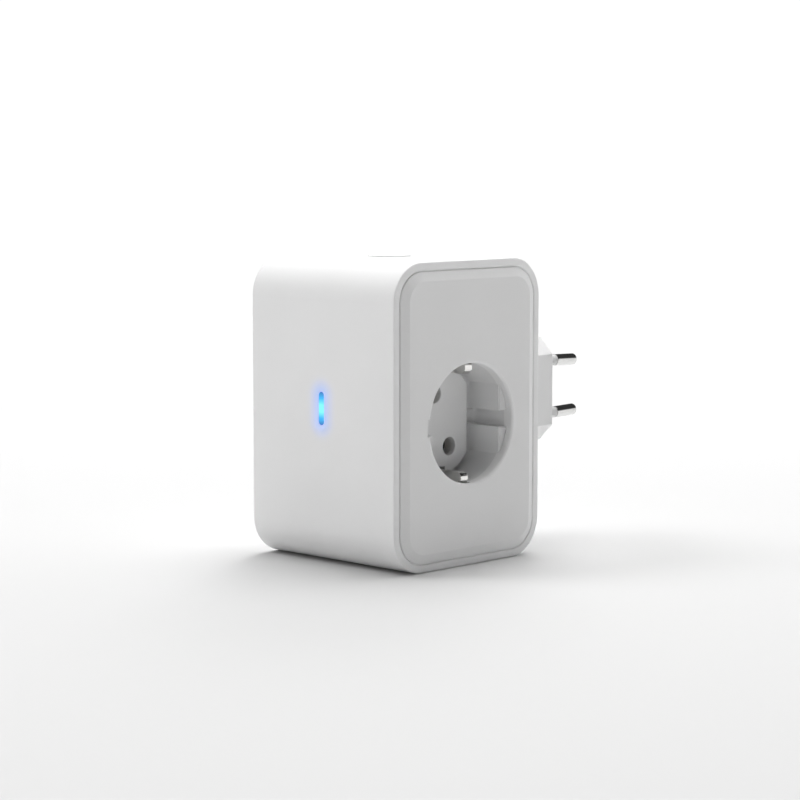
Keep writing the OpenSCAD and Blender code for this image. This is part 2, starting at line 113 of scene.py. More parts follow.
room_ray = node(room, "ShaderNodeLightPath")
room_height = node(room, "ShaderNodeSeparateXYZ", links={0: room_towards})
room_gloss = node(room, "ShaderNodeMapRange", room_shine_levels,
                  {"Value": room_height.outputs["Z"]})
room_shine = node(room, "ShaderNodeMix", links={
    "Factor": room_ray.outputs["Is Glossy Ray"], "A": room_level,
    "B": room_gloss.outputs["Result"]})
room.links.new(room_shine.outputs["Result"], room_light.inputs["Strength"])
room_mix = node(room, "ShaderNodeMixShader", links={
    "Fac": room_ray.outputs["Is Camera Ray"], 1: room_light.outputs["Background"],
    2: room_seen.outputs["Background"]})
room.links.new(room_mix.outputs["Shader"], room.nodes["World Output"].inputs["Surface"])
bpy.context.scene.world = world


def soft_light(name, place, towards, size, power):
    """A round soft lamp, which isn't mirrored in metal and gloss."""
    lamp = bpy.data.lights.new(name, "AREA")
    lamp.shape = "DISK"
    lamp.size = size
    lamp.energy = power
    holder = bpy.data.objects.new(name, lamp)
    holder.location = place
    holder.rotation_euler = (Vector(towards) - Vector(place)).to_track_quat("-Z", "Y").to_euler()
    holder.visible_glossy = False
    bpy.context.scene.collection.objects.link(holder)


soft_light("overhead_light", (-0.15, 0.35, 1.5), (0, 0.05, 0), 1.1, 15)
soft_light("ceiling_light", (0, 0, 1.5), (0, 0, 0), 0.6, 5.2)
soft_light("front_light", (-0.9, -0.9, 1.6), (0, 0, 0.03), 0.8, 13.1)
soft_light("rear_light", (-0.8, 1.1, 1.0), (0, 0, 0.04), 0.8, 8)

# A painted glow fades the floor into the white behind it: along the way the camera looks, and with
# distance.
floor_half = 6.0
floor_colour = 0.62
floor_glow = 1.02
floor_fades = [("DOT_PRODUCT", (-math.sin(azimuth), math.cos(azimuth), 0), 0.08, 0.42),
               ("LENGTH", (0, 0, 0), 0.42, 1.1)]
floor_mesh = bpy.data.meshes.new("floor")
floor_mesh.from_pydata([(-floor_half, -floor_half, 0), (floor_half, -floor_half, 0),
                        (floor_half, floor_half, 0), (-floor_half, floor_half, 0)],
                       [], [(0, 1, 2, 3)])
floor = bpy.data.objects.new("floor", floor_mesh)
bpy.context.scene.collection.objects.link(floor)
floor_paint = bpy.data.materials.new("floor_white")
floor_paint.use_nodes = True
floor_tree = floor_paint.node_tree
floor_shader = floor_tree.nodes["Principled BSDF"]
floor_shader.inputs["Roughness"].default_value = 0.9
floor_shader.inputs["Specular IOR Level"].default_value = 0.1
floor_shader.inputs["Base Color"].default_value = (floor_colour, floor_colour, floor_colour, 1)
floor_place = node(floor_tree, "ShaderNodeTexCoord").outputs["Object"]
fade_terms = []
for measure, towards, near, far in floor_fades:
    far_off = node(floor_tree, "ShaderNodeVectorMath", {1: towards}, {0: floor_place},
                   operation=measure)
    eased = node(floor_tree, "ShaderNodeMapRange", {"From Min": near, "From Max": far},
                 {"Value": far_off.outputs["Value"]}, interpolation_type="SMOOTHSTEP")
    fade_terms.append(eased.outputs["Result"])
fade = node(floor_tree, "ShaderNodeMath", links=dict(enumerate(fade_terms)),
            operation="MAXIMUM")
glow = node(floor_tree, "ShaderNodeEmission", {"Strength": floor_glow})
fade_mix = node(floor_tree, "ShaderNodeMixShader", links={
    "Fac": fade.outputs[0], 1: floor_shader.outputs["BSDF"], 2: glow.outputs["Emission"]})
floor_tree.links.new(fade_mix.outputs["Shader"],
                     floor_tree.nodes["Material Output"].inputs["Surface"])
floor_mesh.materials.append(floor_paint)

# ---- Outer sleeve ----
# One open-ended box section of white ABS, moulded with a fine satin grain: rounded along its
# four long edges, with a rim round each end, a slot in front, a round hole on top and a hole
# at the back for the plug block. Everything else fits inside it.
sleeve_corner = 12.7 * mm
sleeve_wall = 3.6 * mm
rim_width = 2.6 * mm
rim_fillet = 0.45 * mm
rim_depth = 2.5 * mm
corner_steps = 28


def new_object(name, mesh):
    made = bpy.data.objects.new(name, mesh)
    bpy.context.scene.collection.objects.link(made)
    return made


def arc(centre_u, centre_v, radius, start, end, steps=5):
    """Points of an arc in a flat profile, angles in degrees."""
    turns = [math.radians(start + (end - start) * i / steps) for i in range(steps + 1)]
    return [(centre_u + radius * math.cos(t), centre_v + radius * math.sin(t)) for t in turns]


def loft(name, rings, close_ends=True):
    """A closed skin over rings that all have the same number of points."""
    shape = bmesh.new()
    rows = [[shape.verts.new(point) for point in ring] for ring in rings]
    count = len(rings[0])
    for near, far in zip(rows, rows[1:]):
        for i in range(count):
            j = (i + 1) % count
            shape.faces.new((near[i], near[j], far[j], far[i]))
    if close_ends:
        shape.faces.new(list(reversed(rows[0])))
        shape.faces.new(rows[-1])
    bmesh.ops.recalc_face_normals(shape, faces=shape.faces)
    mesh = bpy.data.meshes.new(name)
    shape.to_mesh(mesh)
    shape.free()
    return new_object(name, mesh)


def baked(piece):
    """Turns the piece's modifiers into its mesh."""
    layer = bpy.context.evaluated_depsgraph_get()
    layer.update()
    mesh = bpy.data.meshes.new_from_object(piece.evaluated_get(layer))
    mesh.name = piece.name
    piece.modifiers.clear()
    old = piece.data
    piece.data = mesh
    bpy.data.meshes.remove(old)
    return piece


def cut(piece, tools, way="DIFFERENCE"):
    """Cuts the tools out of the piece, or joins them to it, and removes the tools."""
    for tool in tools:
        step = piece.modifiers.new(tool.name, "BOOLEAN")
        step.operation = way
        step.solver = "EXACT"
        step.object = tool
    baked(piece)
    for tool in tools:
        mesh = tool.data
        bpy.data.objects.remove(tool)
        bpy.data.meshes.remove(mesh)
    return piece


def smooth(piece, angle=32, finish=None):
    """Soft shading that keeps flats flat and edges sharper than the angle crisp."""
    mesh = piece.data
    shape = bmesh.new()
    shape.from_mesh(mesh)
    bmesh.ops.remove_doubles(shape, verts=shape.verts, dist=0.002 * mm)
    bmesh.ops.dissolve_degenerate(shape, edges=shape.edges, dist=0.002 * mm)
    shape.to_mesh(mesh)
    shape.free()
    mesh.shade_smooth()
    mesh.set_sharp_from_angle(angle=math.radians(angle))
    normals = piece.modifiers.new("flat_faces_stay_flat", "WEIGHTED_NORMAL")
    normals.keep_sharp = True
    baked(piece)
    if finish:
        piece.data.materials.clear()
        piece.data.materials.append(finish)
    return piece


def geometry_tree(name, sockets):
    """An empty Geometry Nodes tree with a geometry input, named inputs and a geometry output."""
    tree = bpy.data.node_groups.new(name, "GeometryNodeTree")
    tree.interface.new_socket("Geometry", in_out="INPUT", socket_type="NodeSocketGeometry")
    for label, kind in sockets:
        tree.interface.new_socket(label, in_out="INPUT", socket_type="NodeSocket" + kind)
    tree.interface.new_socket("Geometry", in_out="OUTPUT", socket_type="NodeSocketGeometry")
    return tree, tree.nodes.new("NodeGroupInput"), tree.nodes.new("NodeGroupOutput")


def finished_tree(tree, geometry, given, output):
    """Ends a tree in Realize Instances and Set Material."""
    real = node(tree, "GeometryNodeRealizeInstances", links={"Geometry": geometry})
    painted = node(tree, "GeometryNodeSetMaterial", links={
        "Geometry": real.outputs["Geometry"], "Material": given.outputs["Material"]})
    tree.links.new(painted.outputs["Geometry"], output.inputs["Geometry"])
    return tree


def grow(piece, tree, values):
    """Runs a tree on the piece with these input values and keeps the result as its mesh."""
    step = piece.modifiers.new(tree.name, "NODES")
    step.node_group = tree
    for item in tree.interface.items_tree:
        if item.in_out == "INPUT" and item.name in values:
            step[item.identifier] = values[item.name]
    return baked(piece)


def moulded_plastic(name, colour, rough, grain=0.35, bump=0.05, blotch=0.015):
    """White goods plastic: a spark-eroded grain, and a faint drift of tone and gloss."""
    paint = bpy.data.materials.new(name)
    paint.use_nodes = True
    tree = paint.node_tree
    shader = tree.nodes["Principled BSDF"]
    shader.inputs["IOR"].default_value = 1.5
    place = tree.nodes.new("ShaderNodeTexCoord").outputs["Object"]
    drift = node(tree, "ShaderNodeTexNoise", {"Scale": 28.0, "Detail": 3.0}, {"Vector": place})
    tone = node(tree, "ShaderNodeValToRGB", links={"Fac": drift.outputs["Fac"]})
    tone.color_ramp.elements[0].position = 0.3
    tone.color_ramp.elements[1].position = 0.7
    tone.color_ramp.elements[0].color = [c * (1 - blotch) for c in colour] + [1]
    tone.color_ramp.elements[1].color = [min(1, c * (1 + blotch)) for c in colour] + [1]
    tree.links.new(tone.outputs["Color"], shader.inputs["Base Color"])
    pores = node(tree, "ShaderNodeTexNoise", {"Scale": 1 / (grain * mm), "Detail": 4.0,
                                              "Roughness": 0.6}, {"Vector": place})
    gloss = node(tree, "ShaderNodeMapRange", {"To Min": rough - 0.05, "To Max": rough + 0.05},
                 {"Value": pores.outputs["Fac"]})
    tree.links.new(gloss.outputs["Result"], shader.inputs["Roughness"])
    relief = node(tree, "ShaderNodeBump", {"Strength": bump, "Distance": 0.02 * mm},
                  {"Height": pores.outputs["Fac"]})
    tree.links.new(relief.outputs["Normal"], shader.inputs["Normal"])
    return paint


def sleeve_tree():
    """Sweeps the wall's section, drawn as (outwards, along X), round a rounded rectangle."""
    tree, given, output = geometry_tree("swept_sleeve", [
        ("Depth", "Float"), ("Height", "Float"), ("Corner Radius", "Float"),
        ("Corner Steps", "Int"), ("Centre", "Vector"), ("Material", "Material")])
    outline = node(tree, "GeometryNodeCurvePrimitiveQuadrilateral", links={
        "Width": given.outputs["Depth"], "Height": given.outputs["Height"]})
    rounded = node(tree, "GeometryNodeFilletCurve", mode="POLY", links={
        "Curve": outline.outputs["Curve"], "Radius": given.outputs["Corner Radius"],
        "Count": given.outputs["Corner Steps"]})
    section = node(tree, "GeometryNodeMeshToCurve", links={"Mesh": given.outputs["Geometry"]})
    swept = node(tree, "GeometryNodeCurveToMesh", links={
        "Curve": rounded.outputs["Curve"], "Profile Curve": section.outputs["Curve"]})
    stood = node(tree, "GeometryNodeTransform", {"Rotation": (math.pi / 2, 0, math.pi / 2)}, {
        "Geometry": swept.outputs["Mesh"], "Translation": given.outputs["Centre"]})
    return finished_tree(tree, stood.outputs["Geometry"], given, output)


def wall_section():
    """The sleeve's wall, cut along X: rounded rims at both ends and a step for the panels."""
    half = sleeve_size.x / 2
    f = rim_fillet
    right_end = (arc(-f, half - f, f, 0, 90) + arc(f - rim_width, half - f, f, 90, 180)
                 + [(-rim_width, half - rim_depth), (-sleeve_wall, half - rim_depth)])
    left_end = [(u, -v) for u, v in reversed(right_end)]
    return right_end + left_end


casing_white = moulded_plastic("casing_white", (0.92, 0.92, 0.92), 0.42)
section_points = wall_section()
section_mesh = bpy.data.meshes.new("outer_sleeve_shell")
section_count = len(section_points)
section_mesh.from_pydata([(u, v, 0) for u, v in section_points],
                         [(i, (i + 1) % section_count) for i in range(section_count)], [])
sleeve = new_object("outer_sleeve_shell", section_mesh)
grow(sleeve, sleeve_tree(), {
    "Depth": sleeve_size.y, "Height": sleeve_size.z, "Corner Radius": sleeve_corner,
    "Corner Steps": corner_steps, "Centre": sleeve_middle, "Material": casing_white})


def soften(points, radii, steps=4):
    """An open line of flat points with its inner corners rounded, one radius for each."""
    line = [Vector(point) for point in points]
    result = [line[0]]
    for before, corner, after, radius in zip(line, line[1:], line[2:], radii):
        arriving = (before - corner).normalized()
        leaving = (after - corner).normalized()
        half_angle = arriving.angle(leaving) / 2
        if radius <= 0 or half_angle > math.radians(89):
            result.append(corner)
            continue
        reach = radius / math.tan(half_angle)
        centre = corner + (arriving + leaving).normalized() * radius / math.sin(half_angle)
        first = corner + arriving * reach - centre
        last = corner + leaving * reach - centre
        sweep = first.angle(last)
        for i in range(steps + 1):
            share = i / steps
            result.append(centre + (first * math.sin((1 - share) * sweep)
                                    + last * math.sin(share * sweep)) / math.sin(sweep))
    return [tuple(point) for point in result + [line[-1]]]


def rounded_outline(width, height, radius, steps=corner_steps):
    """Gives the outline of a rounded rectangle, grown by any amount."""
    def outline(grow):
        reach_u = width / 2 - radius
        reach_v = height / 2 - radius
        points = []
        for quarter, (side_u, side_v) in enumerate([(1, 1), (-1, 1), (-1, -1), (1, -1)]):
            points += arc(side_u * reach_u, side_v * reach_v, radius + grow,
                          90 * quarter, 90 * quarter + 90, steps)
        return points
    return outline


def round_outline(radius, steps=96):
    """Gives a circle, grown by any amount."""
    return lambda grow: arc(0, 0, radius + grow, 0, 360, steps)[:-1]


def stack(name, outline, stations, place):
    """A solid whose outline grows and shrinks from station to station: (grow, along)."""
    return loft(name, [[place(u, v, along) for u, v in outline(grow)]
                       for grow, along in stations])


def facing_x(y, z):
    return lambda u, v, along: (along, y + u, z + v)


def facing_y(x, z):
    return lambda u, v, along: (x + u, along, z + v)


def facing_z(x, y):
    return lambda u, v, along: (x + u, y + v, along)


def flare(inside, face, fillet, depth, steps=5):
    """Stations of a cutter that rounds the mouth of the hole it cuts, with the given radius."""
    way = 1 if face > inside else -1
    last_turn = 84
    rounding = [(fillet * (1 - math.cos(math.radians(a))),
                 face - way * fillet * (1 - math.sin(math.radians(a))))
                for a in [last_turn * i / steps for i in range(steps + 1)]]
    return [(0, inside)] + rounding + [(rounding[-1][0], face + way * depth)]


def plug_outline(grow):
    """The plug block's long octagon with slightly rounded corners."""
    half_u = plug_thickness / 2 + grow
    half_v = plug_height / 2 + grow
    chamfer = plug_chamfer + 0.6 * grow
    corners = [(half_u, half_v - chamfer), (half_u - chamfer, half_v),
               (chamfer - half_u, half_v), (-half_u, half_v - chamfer),
               (-half_u, chamfer - half_v), (chamfer - half_u, -half_v),
               (half_u - chamfer, -half_v), (half_u, chamfer - half_v)]
    start = (half_u, 0)
    loop = [start] + corners + [start]
    return soften(loop, [0.5 * mm] * len(corners), 3)[:-1]


plug_low, plug_high = [Vector(corner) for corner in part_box("plug_body")]
plug_middle = (plug_low + plug_high) / 2
plug_thickness = 13.7 * mm
plug_height = 35.3 * mm
plug_chamfer = 5.6 * mm
light_low, light_high = [Vector(corner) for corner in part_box("light_pipe")]
light_middle = (light_low + light_high) / 2
light_width = 2.3 * mm
light_length = 10.7 * mm
button_low, button_high = [Vector(corner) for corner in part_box("button_cap")]
button_middle = (button_low + button_high) / 2
button_radius = 7.2 * mm
button_gap = 0.2 * mm
hole_fillet = 0.18 * mm
slot_gap = 0.05 * mm
seat_depth = 0.55 * mm
seat_gap = 0.06 * mm
front_y = sleeve_low.y
rear_y = sleeve_high.y
top_z = sleeve_high.z
light_outline = rounded_outline(light_width, light_length, light_width / 2 - 0.001 * mm, 10)
cut(sleeve, [
    stack("slot_cutter", light_outline,
          [(slot_gap + g, y) for g, y in flare(front_y + 6 * mm, front_y, 0.1 * mm, mm)],
          facing_y(light_middle.x, light_middle.z)),
    stack("button_cutter", round_outline(button_radius + button_gap),
          flare(top_z - 8 * mm, top_z, hole_fillet, mm), facing_z(button_middle.x, button_middle.y)),
    stack("plug_cutter", plug_outline,
          [(0.1 * mm + g, y) for g, y in flare(rear_y - 8 * mm, rear_y, hole_fillet, mm)],
          facing_y(plug_middle.x, plug_middle.z))])
seat_outline = rounded_outline(sleeve_size.y - 2 * rim_width, sleeve_size.z - 2 * rim_width,
                               sleeve_corner - rim_width)
for action, widened, depths in (
        ("UNION", 0.3 * mm, (seat_depth + 1.1 * mm, seat_depth)),
        ("DIFFERENCE", seat_gap - 0.4 * mm, (seat_depth + 2 * mm, 0))):
    cut(sleeve, [stack("cover_seat", seat_outline,
                       [(widened, side * (sleeve_high.x - depth)) for depth in depths],
                       facing_x(sleeve_middle.y, sleeve_middle.z)) for side in (-1, 1)], action)
smooth(sleeve, finish=casing_white)
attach(sleeve, "casing")
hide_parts("outer_sleeve")


def add_glow(paint, centre, half_length, half_width, reach, strength, colour, glow_tint):
    """Painted glow round the lit slot: emission and a bluish base colour, fading over the reach."""
    tree = paint.node_tree
    shader = tree.nodes["Principled BSDF"]
    place = tree.nodes.new("ShaderNodeTexCoord").outputs["Object"]
    parts = node(tree, "ShaderNodeSeparateXYZ", links={"Vector": place})

    def figure(kind, first, second=None):
        made = tree.nodes.new("ShaderNodeMath")
        made.operation = kind
        for slot_index, value in enumerate((first, second)):
            if value is None:
                continue
            if isinstance(value, (int, float)):
                made.inputs[slot_index].default_value = value
            else:
                tree.links.new(value, made.inputs[slot_index])
        return made.outputs[0]

    aside = figure("SUBTRACT", parts.outputs["X"], centre.x)
    above = figure("ABSOLUTE", figure("SUBTRACT", parts.outputs["Z"], centre.z))
    beyond = figure("MAXIMUM", figure("SUBTRACT", above, half_length), 0.0)
    away = figure("SQRT", figure("ADD", figure("MULTIPLY", aside, aside),
                                 figure("MULTIPLY", beyond, beyond)))
    outside = figure("MAXIMUM", figure("SUBTRACT", away, half_width), 0.0)
    spread = figure("MULTIPLY", outside, 1 / reach)
    fade = figure("EXPONENT", figure("MULTIPLY", figure("MULTIPLY", spread, spread), -1.0))
    tree.links.new(figure("MULTIPLY", fade, strength), shader.inputs["Emission Strength"])
    shader.inputs["Emission Color"].default_value = colour
    # The base colour near the slot is painted bluish as part of the painted glow.
    glow_tinted = tree.nodes.new("ShaderNodeMixRGB")
    glow_tinted.blend_type = "MULTIPLY"
    glow_tinted.inputs["Color2"].default_value = glow_tint
    tree.links.new(fade, glow_tinted.inputs["Fac"])
    tree.links.new(shader.inputs["Base Color"].links[0].from_socket, glow_tinted.inputs["Color1"])
    tree.links.new(glow_tinted.outputs["Color"], shader.inputs["Base Color"])


# Painted blue glow and bluish tint on the casing round the lit slot.
add_glow(casing_white, light_middle, light_length / 2 - 1.2 * mm, light_width / 2, 2.9 * mm, 0.30,
         (0.0, 0.04, 1.0, 1), (0.77, 0.90, 1.0, 1))

# ---- Socket panel ----
# The right-hand cover, moulded in matt white ABS: a plate set into the sleeve with a narrow
# groove round it, a bevel rising to a flat, the round mouth of the outlet with a keying notch,
# and on its back the posts for the cover screws and the stand-offs for the board.
panel_high = Vector(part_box("socket_panel")[1])
panel_gap = 0.4 * mm
panel_thickness = 3.6 * mm
bevel_width = 3.0 * mm
panel_width = sleeve_size.y - 2 * (rim_width + panel_gap)
panel_height = sleeve_size.z - 2 * (rim_width + panel_gap)
panel_corner = sleeve_corner - rim_width - panel_gap
flat_x = panel_high.x
rim_x = sleeve_high.x
back_x = flat_x - panel_thickness
mouth_radius = 19.5 * mm
mouth_fillet = 0.9 * mm
key_width = 5.4 * mm
notch_depth = 1.2 * mm
clip_turn = math.radians(-3)
clip_slot_width = 4.5 * mm
clip_slot_reach = 22.2 * mm
outlet_y = sleeve_middle.y + 0.4 * mm
outlet_z = 46.2 * mm
well_screw_reach = 23.2 * mm
post_places = [(sleeve_middle.y + side * 23.2 * mm, z) for side in (-1, 1)
               for z in (11.2 * mm, sleeve_high.z - 11.2 * mm)]
stand_places = [(sleeve_middle.y + side * 23.6 * mm, z) for side in (-1, 1)
                for z in (20.5 * mm, 79.5 * mm)]


def block(name, low, high, turn=0, about=(0, 0)):
    """A box between two corners, turned about an X axis at (y, z) if asked."""
    cosine, sine = math.cos(turn), math.sin(turn)

    def place(u, v, along):
        y, z = u - about[0], v - about[1]
        return (along, about[0] + y * cosine - z * sine, about[1] + y * sine + z * cosine)

    return loft(name, [[place(u, v, x) for u, v in
                        [(low[1], low[2]), (high[1], low[2]), (high[1], high[2]), (low[1], high[2])]]
                       for x in (low[0], high[0])])


def rod_x(name, start, end, radius, y, z, steps=32):
    return stack(name, round_outline(radius, steps), [(0, start), (0, end)], facing_x(y, z))


def panel_shell(name):
    """The plate with its bevel, flat side towards +X."""
    edge = soften([(-0.3 * mm, back_x), (0, back_x + 0.3 * mm), (0, rim_x), (-bevel_width, flat_x),
                   (-bevel_width - 2 * mm, flat_x)],
                  [0, 0.3 * mm, 0.8 * mm], 5)
    return stack(name, rounded_outline(panel_width, panel_height, panel_corner), edge,
                 facing_x(sleeve_middle.y, sleeve_middle.z))


def around_outlet(angle, reach):
    """(y, z) at an angle from upright about the outlet's axis, towards -Y when positive."""
    return outlet_y - reach * math.sin(angle), outlet_z + reach * math.cos(angle)


# The covers' white is set a little darker and rougher than the sleeve's white; the darkness is painted
# shade of the socket side.
panel_white = moulded_plastic("panel_white", (0.86, 0.86, 0.86), 0.5, grain=0.3, bump=0.07)
panel = panel_shell("socket_panel_shell")
cut(panel, [rod_x("post", 1.6 * mm, back_x + mm, 3.5 * mm, y, z) for y, z in post_places]
    + [rod_x("stand", 0, back_x + mm, 2.6 * mm, y, z) for y, z in stand_places], "UNION")
key_half = key_width / 2 + 0.2 * mm
cut(panel, [
    stack("mouth_cutter", round_outline(mouth_radius, 144),
          flare(back_x - mm, flat_x, mouth_fillet, mm, 7), facing_x(outlet_y, outlet_z)),
    block("notch_cutter", (back_x - mm, outlet_y - mouth_radius - notch_depth, outlet_z - key_half),
          (flat_x + mm, outlet_y - mouth_radius + 2 * mm, outlet_z + key_half))]
    + [block("slot_cutter", (back_x - mm, outlet_y - clip_slot_width / 2, outlet_z),
             (flat_x - 1.6 * mm, outlet_y + clip_slot_width / 2, outlet_z + clip_slot_reach),
             side * math.pi + clip_turn, (outlet_y, outlet_z)) for side in (0, 1)]
    + [rod_x("pilot", 0, 16 * mm, 1.3 * mm, y, z, 16) for y, z in post_places]
    + [rod_x("pilot", -mm, 8 * mm, 0.9 * mm, y, z, 16) for y, z in stand_places]
    + [rod_x("pilot", back_x - mm, back_x + 2.2 * mm, 0.85 * mm,
             *around_outlet(math.radians(a), well_screw_reach), 16) for a in (90, 210, 330)])
smooth(panel, finish=panel_white)
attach(panel, "casing")
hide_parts("socket_panel")

# ---- Socket well ----
# The outlet's recess, a deep cup of white heat-resisting plastic screwed behind the panel, its white
# darkened as painted shade of the recess.
# Its wall carries two flat guide pads split by key channels and two slots for the earth clips,
# and a raised plate on its floor has the two round pin holes.
recess_depth = 17.3 * mm
plate_depth = 13.3 * mm
plate_inset = 3.0 * mm
floor_slot_width = 3.5 * mm
plate_fillet = 1.6 * mm
floor_x = flat_x - recess_depth
floor_back = floor_x - 2 * mm
plate_x = flat_x - plate_depth
pad_reach = 15.75 * mm
pad_front = flat_x - 2.5 * mm
carrier_x = 2.3 * mm
carrier_front = carrier_x + 3 * mm
floor_fillet = 2.0 * mm
pad_edge = 0.4 * mm
well_wall = 2 * mm
well_flange = 2.2 * mm
flange_radius = 25.4 * mm
clip_face = 15.8 * mm
pin_turn = math.radians(21.7)
pin_reach = 9.5 * mm
pin_hole = 2.95 * mm
boss_reach = 12.4 * mm
slot_box_half = 3.85 * mm
slot_box_reach = 23.6 * mm


def recess_ring(x, wall, pad, steps=30):
    """The recess's outline at x: the round wall drawn in by wall, pads and channel by pad."""
    radius = mouth_radius - wall
    flat = pad_reach - pad
    half_key = key_width / 2 - pad
    start = math.degrees(math.acos(flat / radius))
    key_angle = math.degrees(math.asin(half_key / radius))
    right_pad = ([(flat, -half_key)] + arc(0, 0, radius, -key_angle, key_angle, 4)
                 + [(flat, half_key)])
    left_pad = [(-u, -v) for u, v in right_pad]
    points = (right_pad + arc(0, 0, radius, start, 180 - start, steps)
              + left_pad + arc(0, 0, radius, 180 + start, 360 - start, steps))
    return [(x, outlet_y + u, outlet_z + v) for u, v in points]


def pad_nose(side):
    """The front end of a guide pad, which reaches into the panel's opening."""
    radius = mouth_radius - 0.15 * mm
    spread = math.degrees(math.acos((pad_reach - 0.5 * mm) / radius))
    outline = [(outlet_y + side * u, outlet_z + v) for u, v in arc(0, 0, radius, -spread, spread, 24)]
    return loft("pad_nose", [[(x, y, z) for y, z in outline] for x in (back_x - 0.5 * mm, pad_front)])


def plate_outline(grow):
    """The raised plate: the recess's circle drawn in from both sides, with two short flats."""
    radius = mouth_radius + grow
    flat = pad_reach - plate_inset + grow
    start = math.degrees(math.acos((flat + plate_inset) / radius))
    end = math.degrees(math.acos(plate_inset / radius))
    quarter = arc(-plate_inset, 0, radius, start, end, 20)[:-1]
    upper = (quarter + [(0, radius * math.sin(math.radians(end)))]
             + [(-u, v) for u, v in reversed(quarter)])
    return upper + [(-u, -v) for u, v in upper]


# The well's white is darker than the panel's: painted shade of the deep recess.
well_white = moulded_plastic("well_white", (0.77, 0.77, 0.77), 0.45, grain=0.3, bump=0.05)
well = stack("socket_well_shell", round_outline(mouth_radius + well_wall),
             [(0, floor_back), (0, back_x)], facing_x(outlet_y, outlet_z))
cut(well, [
    stack("flange", round_outline(flange_radius), [(0, back_x - well_flange), (0, back_x - 0.001 * mm)],
          facing_x(outlet_y, outlet_z))]
    + [block("slot_box", (floor_back + 0.4 * mm, outlet_y - slot_box_half, outlet_z),
             (back_x - 0.5 * mm, outlet_y + slot_box_half, outlet_z + slot_box_reach),
             side * math.pi + clip_turn, (outlet_y, outlet_z)) for side in (0, 1)]
    + [pad_nose(side) for side in (-1, 1)]
    + [rod_x("boss", carrier_front, floor_back + 0.5 * mm, 2.4 * mm,
             outlet_y + side * boss_reach, outlet_z) for side in (-1, 1)], "UNION")
rings = [recess_ring(pad_front + mm, 0, -pad_edge)]
for a in range(0, 91, 15):
    turn = math.radians(a)
    rings.append(recess_ring(pad_front - pad_edge * math.sin(turn), 0, -pad_edge * math.cos(turn)))
for a in range(0, 91, 15):
    turn = math.radians(a)
    draw = floor_fillet * (1 - math.cos(turn))
    rings.append(recess_ring(floor_x + floor_fillet * (1 - math.sin(turn)), draw, draw))
cut(well, [loft("recess_cutter", rings)])
plate_shoulder = [(-plate_fillet * (1 - math.cos(math.radians(a))),
                   plate_x - plate_fillet * (1 - math.sin(math.radians(a))))
                  for a in range(18, 91, 18)]
cut(well, [stack("raised_plate", plate_outline,
                 [(0, floor_x - 0.5 * mm), (0, plate_x - plate_fillet)] + plate_shoulder,
                 facing_x(outlet_y, outlet_z))], "UNION")
cut(well, [block("clip_slot", (start, outlet_y - half, outlet_z + clip_face - margin),
             (end, outlet_y + half, outlet_z + clip_slot_reach),
             side * math.pi + clip_turn, (outlet_y, outlet_z)) for side in (0, 1)
           for start, end, half, margin in (
               (floor_back - mm, floor_x + 0.5 * mm, floor_slot_width / 2, 0.1 * mm),
               (floor_x, flat_x, clip_slot_width / 2, 0.6 * mm))]
    + [stack("pin_hole", round_outline(pin_hole, 48), flare(floor_back - mm, plate_x, 0.3 * mm, mm),
             facing_x(*around_outlet(pin_turn + side * math.pi, pin_reach))) for side in (0, 1)]
    + [rod_x("pin_hollow", floor_back - mm, plate_x - 2 * mm, 4.1 * mm,
             *around_outlet(pin_turn + side * math.pi, pin_reach)) for side in (0, 1)]
    + [rod_x("pilot", carrier_front - mm, floor_back + 0.6 * mm, 0.8 * mm,
             outlet_y + side * boss_reach, outlet_z, 16) for side in (-1, 1)]
    + [rod_x("pilot", back_x - 3.2 * mm, back_x + mm, 1.1 * mm,
             *around_outlet(math.radians(a), well_screw_reach), 16) for a in (90, 210, 330)])
smooth(well, finish=well_white)
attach(well, "casing")
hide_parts("socket_well")

# ---- Earth clips ----
# Two sprung contacts of bright nickel-plated bronze strip, folded with a cheek down each side.
# They grow from the earth strap behind the recess and flex outwards as a plug goes in.
clip_width = 3.3 * mm
clip_gauge = 0.6 * mm
cheek_gauge = 0.5 * mm
clip_root = floor_back + 0.4 * mm
clip_front = flat_x - 2.5 * mm
clip_line = clip_face + clip_gauge / 2


def plated_metal(name, colour, rough, scratch=0.12, bump=0.02, stretch=(1, 1, 1)):
    """Plated or drawn metal: fine drawn lines that break up the gloss."""
    paint = bpy.data.materials.new(name)
    paint.use_nodes = True
    tree = paint.node_tree
    shader = tree.nodes["Principled BSDF"]
    shader.inputs["Metallic"].default_value = 1.0
    place = tree.nodes.new("ShaderNodeTexCoord").outputs["Object"]
    drawn = node(tree, "ShaderNodeMapping", links={"Vector": place})
    drawn.inputs["Scale"].default_value = stretch
    lines = node(tree, "ShaderNodeTexNoise", {"Scale": 2600.0, "Detail": 3.0},
                 {"Vector": drawn.outputs["Vector"]})
    cloud = node(tree, "ShaderNodeTexNoise", {"Scale": 180.0, "Detail": 2.0}, {"Vector": place})
    tone = node(tree, "ShaderNodeValToRGB", links={"Fac": cloud.outputs["Fac"]})
    tone.color_ramp.elements[0].color = [c * 0.93 for c in colour] + [1]
    tone.color_ramp.elements[1].color = list(colour) + [1]
    tree.links.new(tone.outputs["Color"], shader.inputs["Base Color"])
    gloss = node(tree, "ShaderNodeMapRange", {"To Min": rough, "To Max": rough + scratch},
                 {"Value": lines.outputs["Fac"]})
    tree.links.new(gloss.outputs["Result"], shader.inputs["Roughness"])
    relief = node(tree, "ShaderNodeBump", {"Strength": bump, "Distance": 0.01 * mm},
                  {"Height": lines.outputs["Fac"]})
    tree.links.new(relief.outputs["Normal"], shader.inputs["Normal"])
    return paint


def strip_outline(line, gauge):
    """The closed outline of a strip of this thickness along a flat line."""
    points = [Vector(point) for point in line]
    left, right_side = [], []
    for i, point in enumerate(points):
        ahead = (points[min(i + 1, len(points) - 1)] - points[max(i - 1, 0)]).normalized()
        normal = Vector((-ahead.y, ahead.x)) * gauge / 2
        left.append(tuple(point + normal))
        right_side.append(tuple(point - normal))
    return left + right_side[::-1]


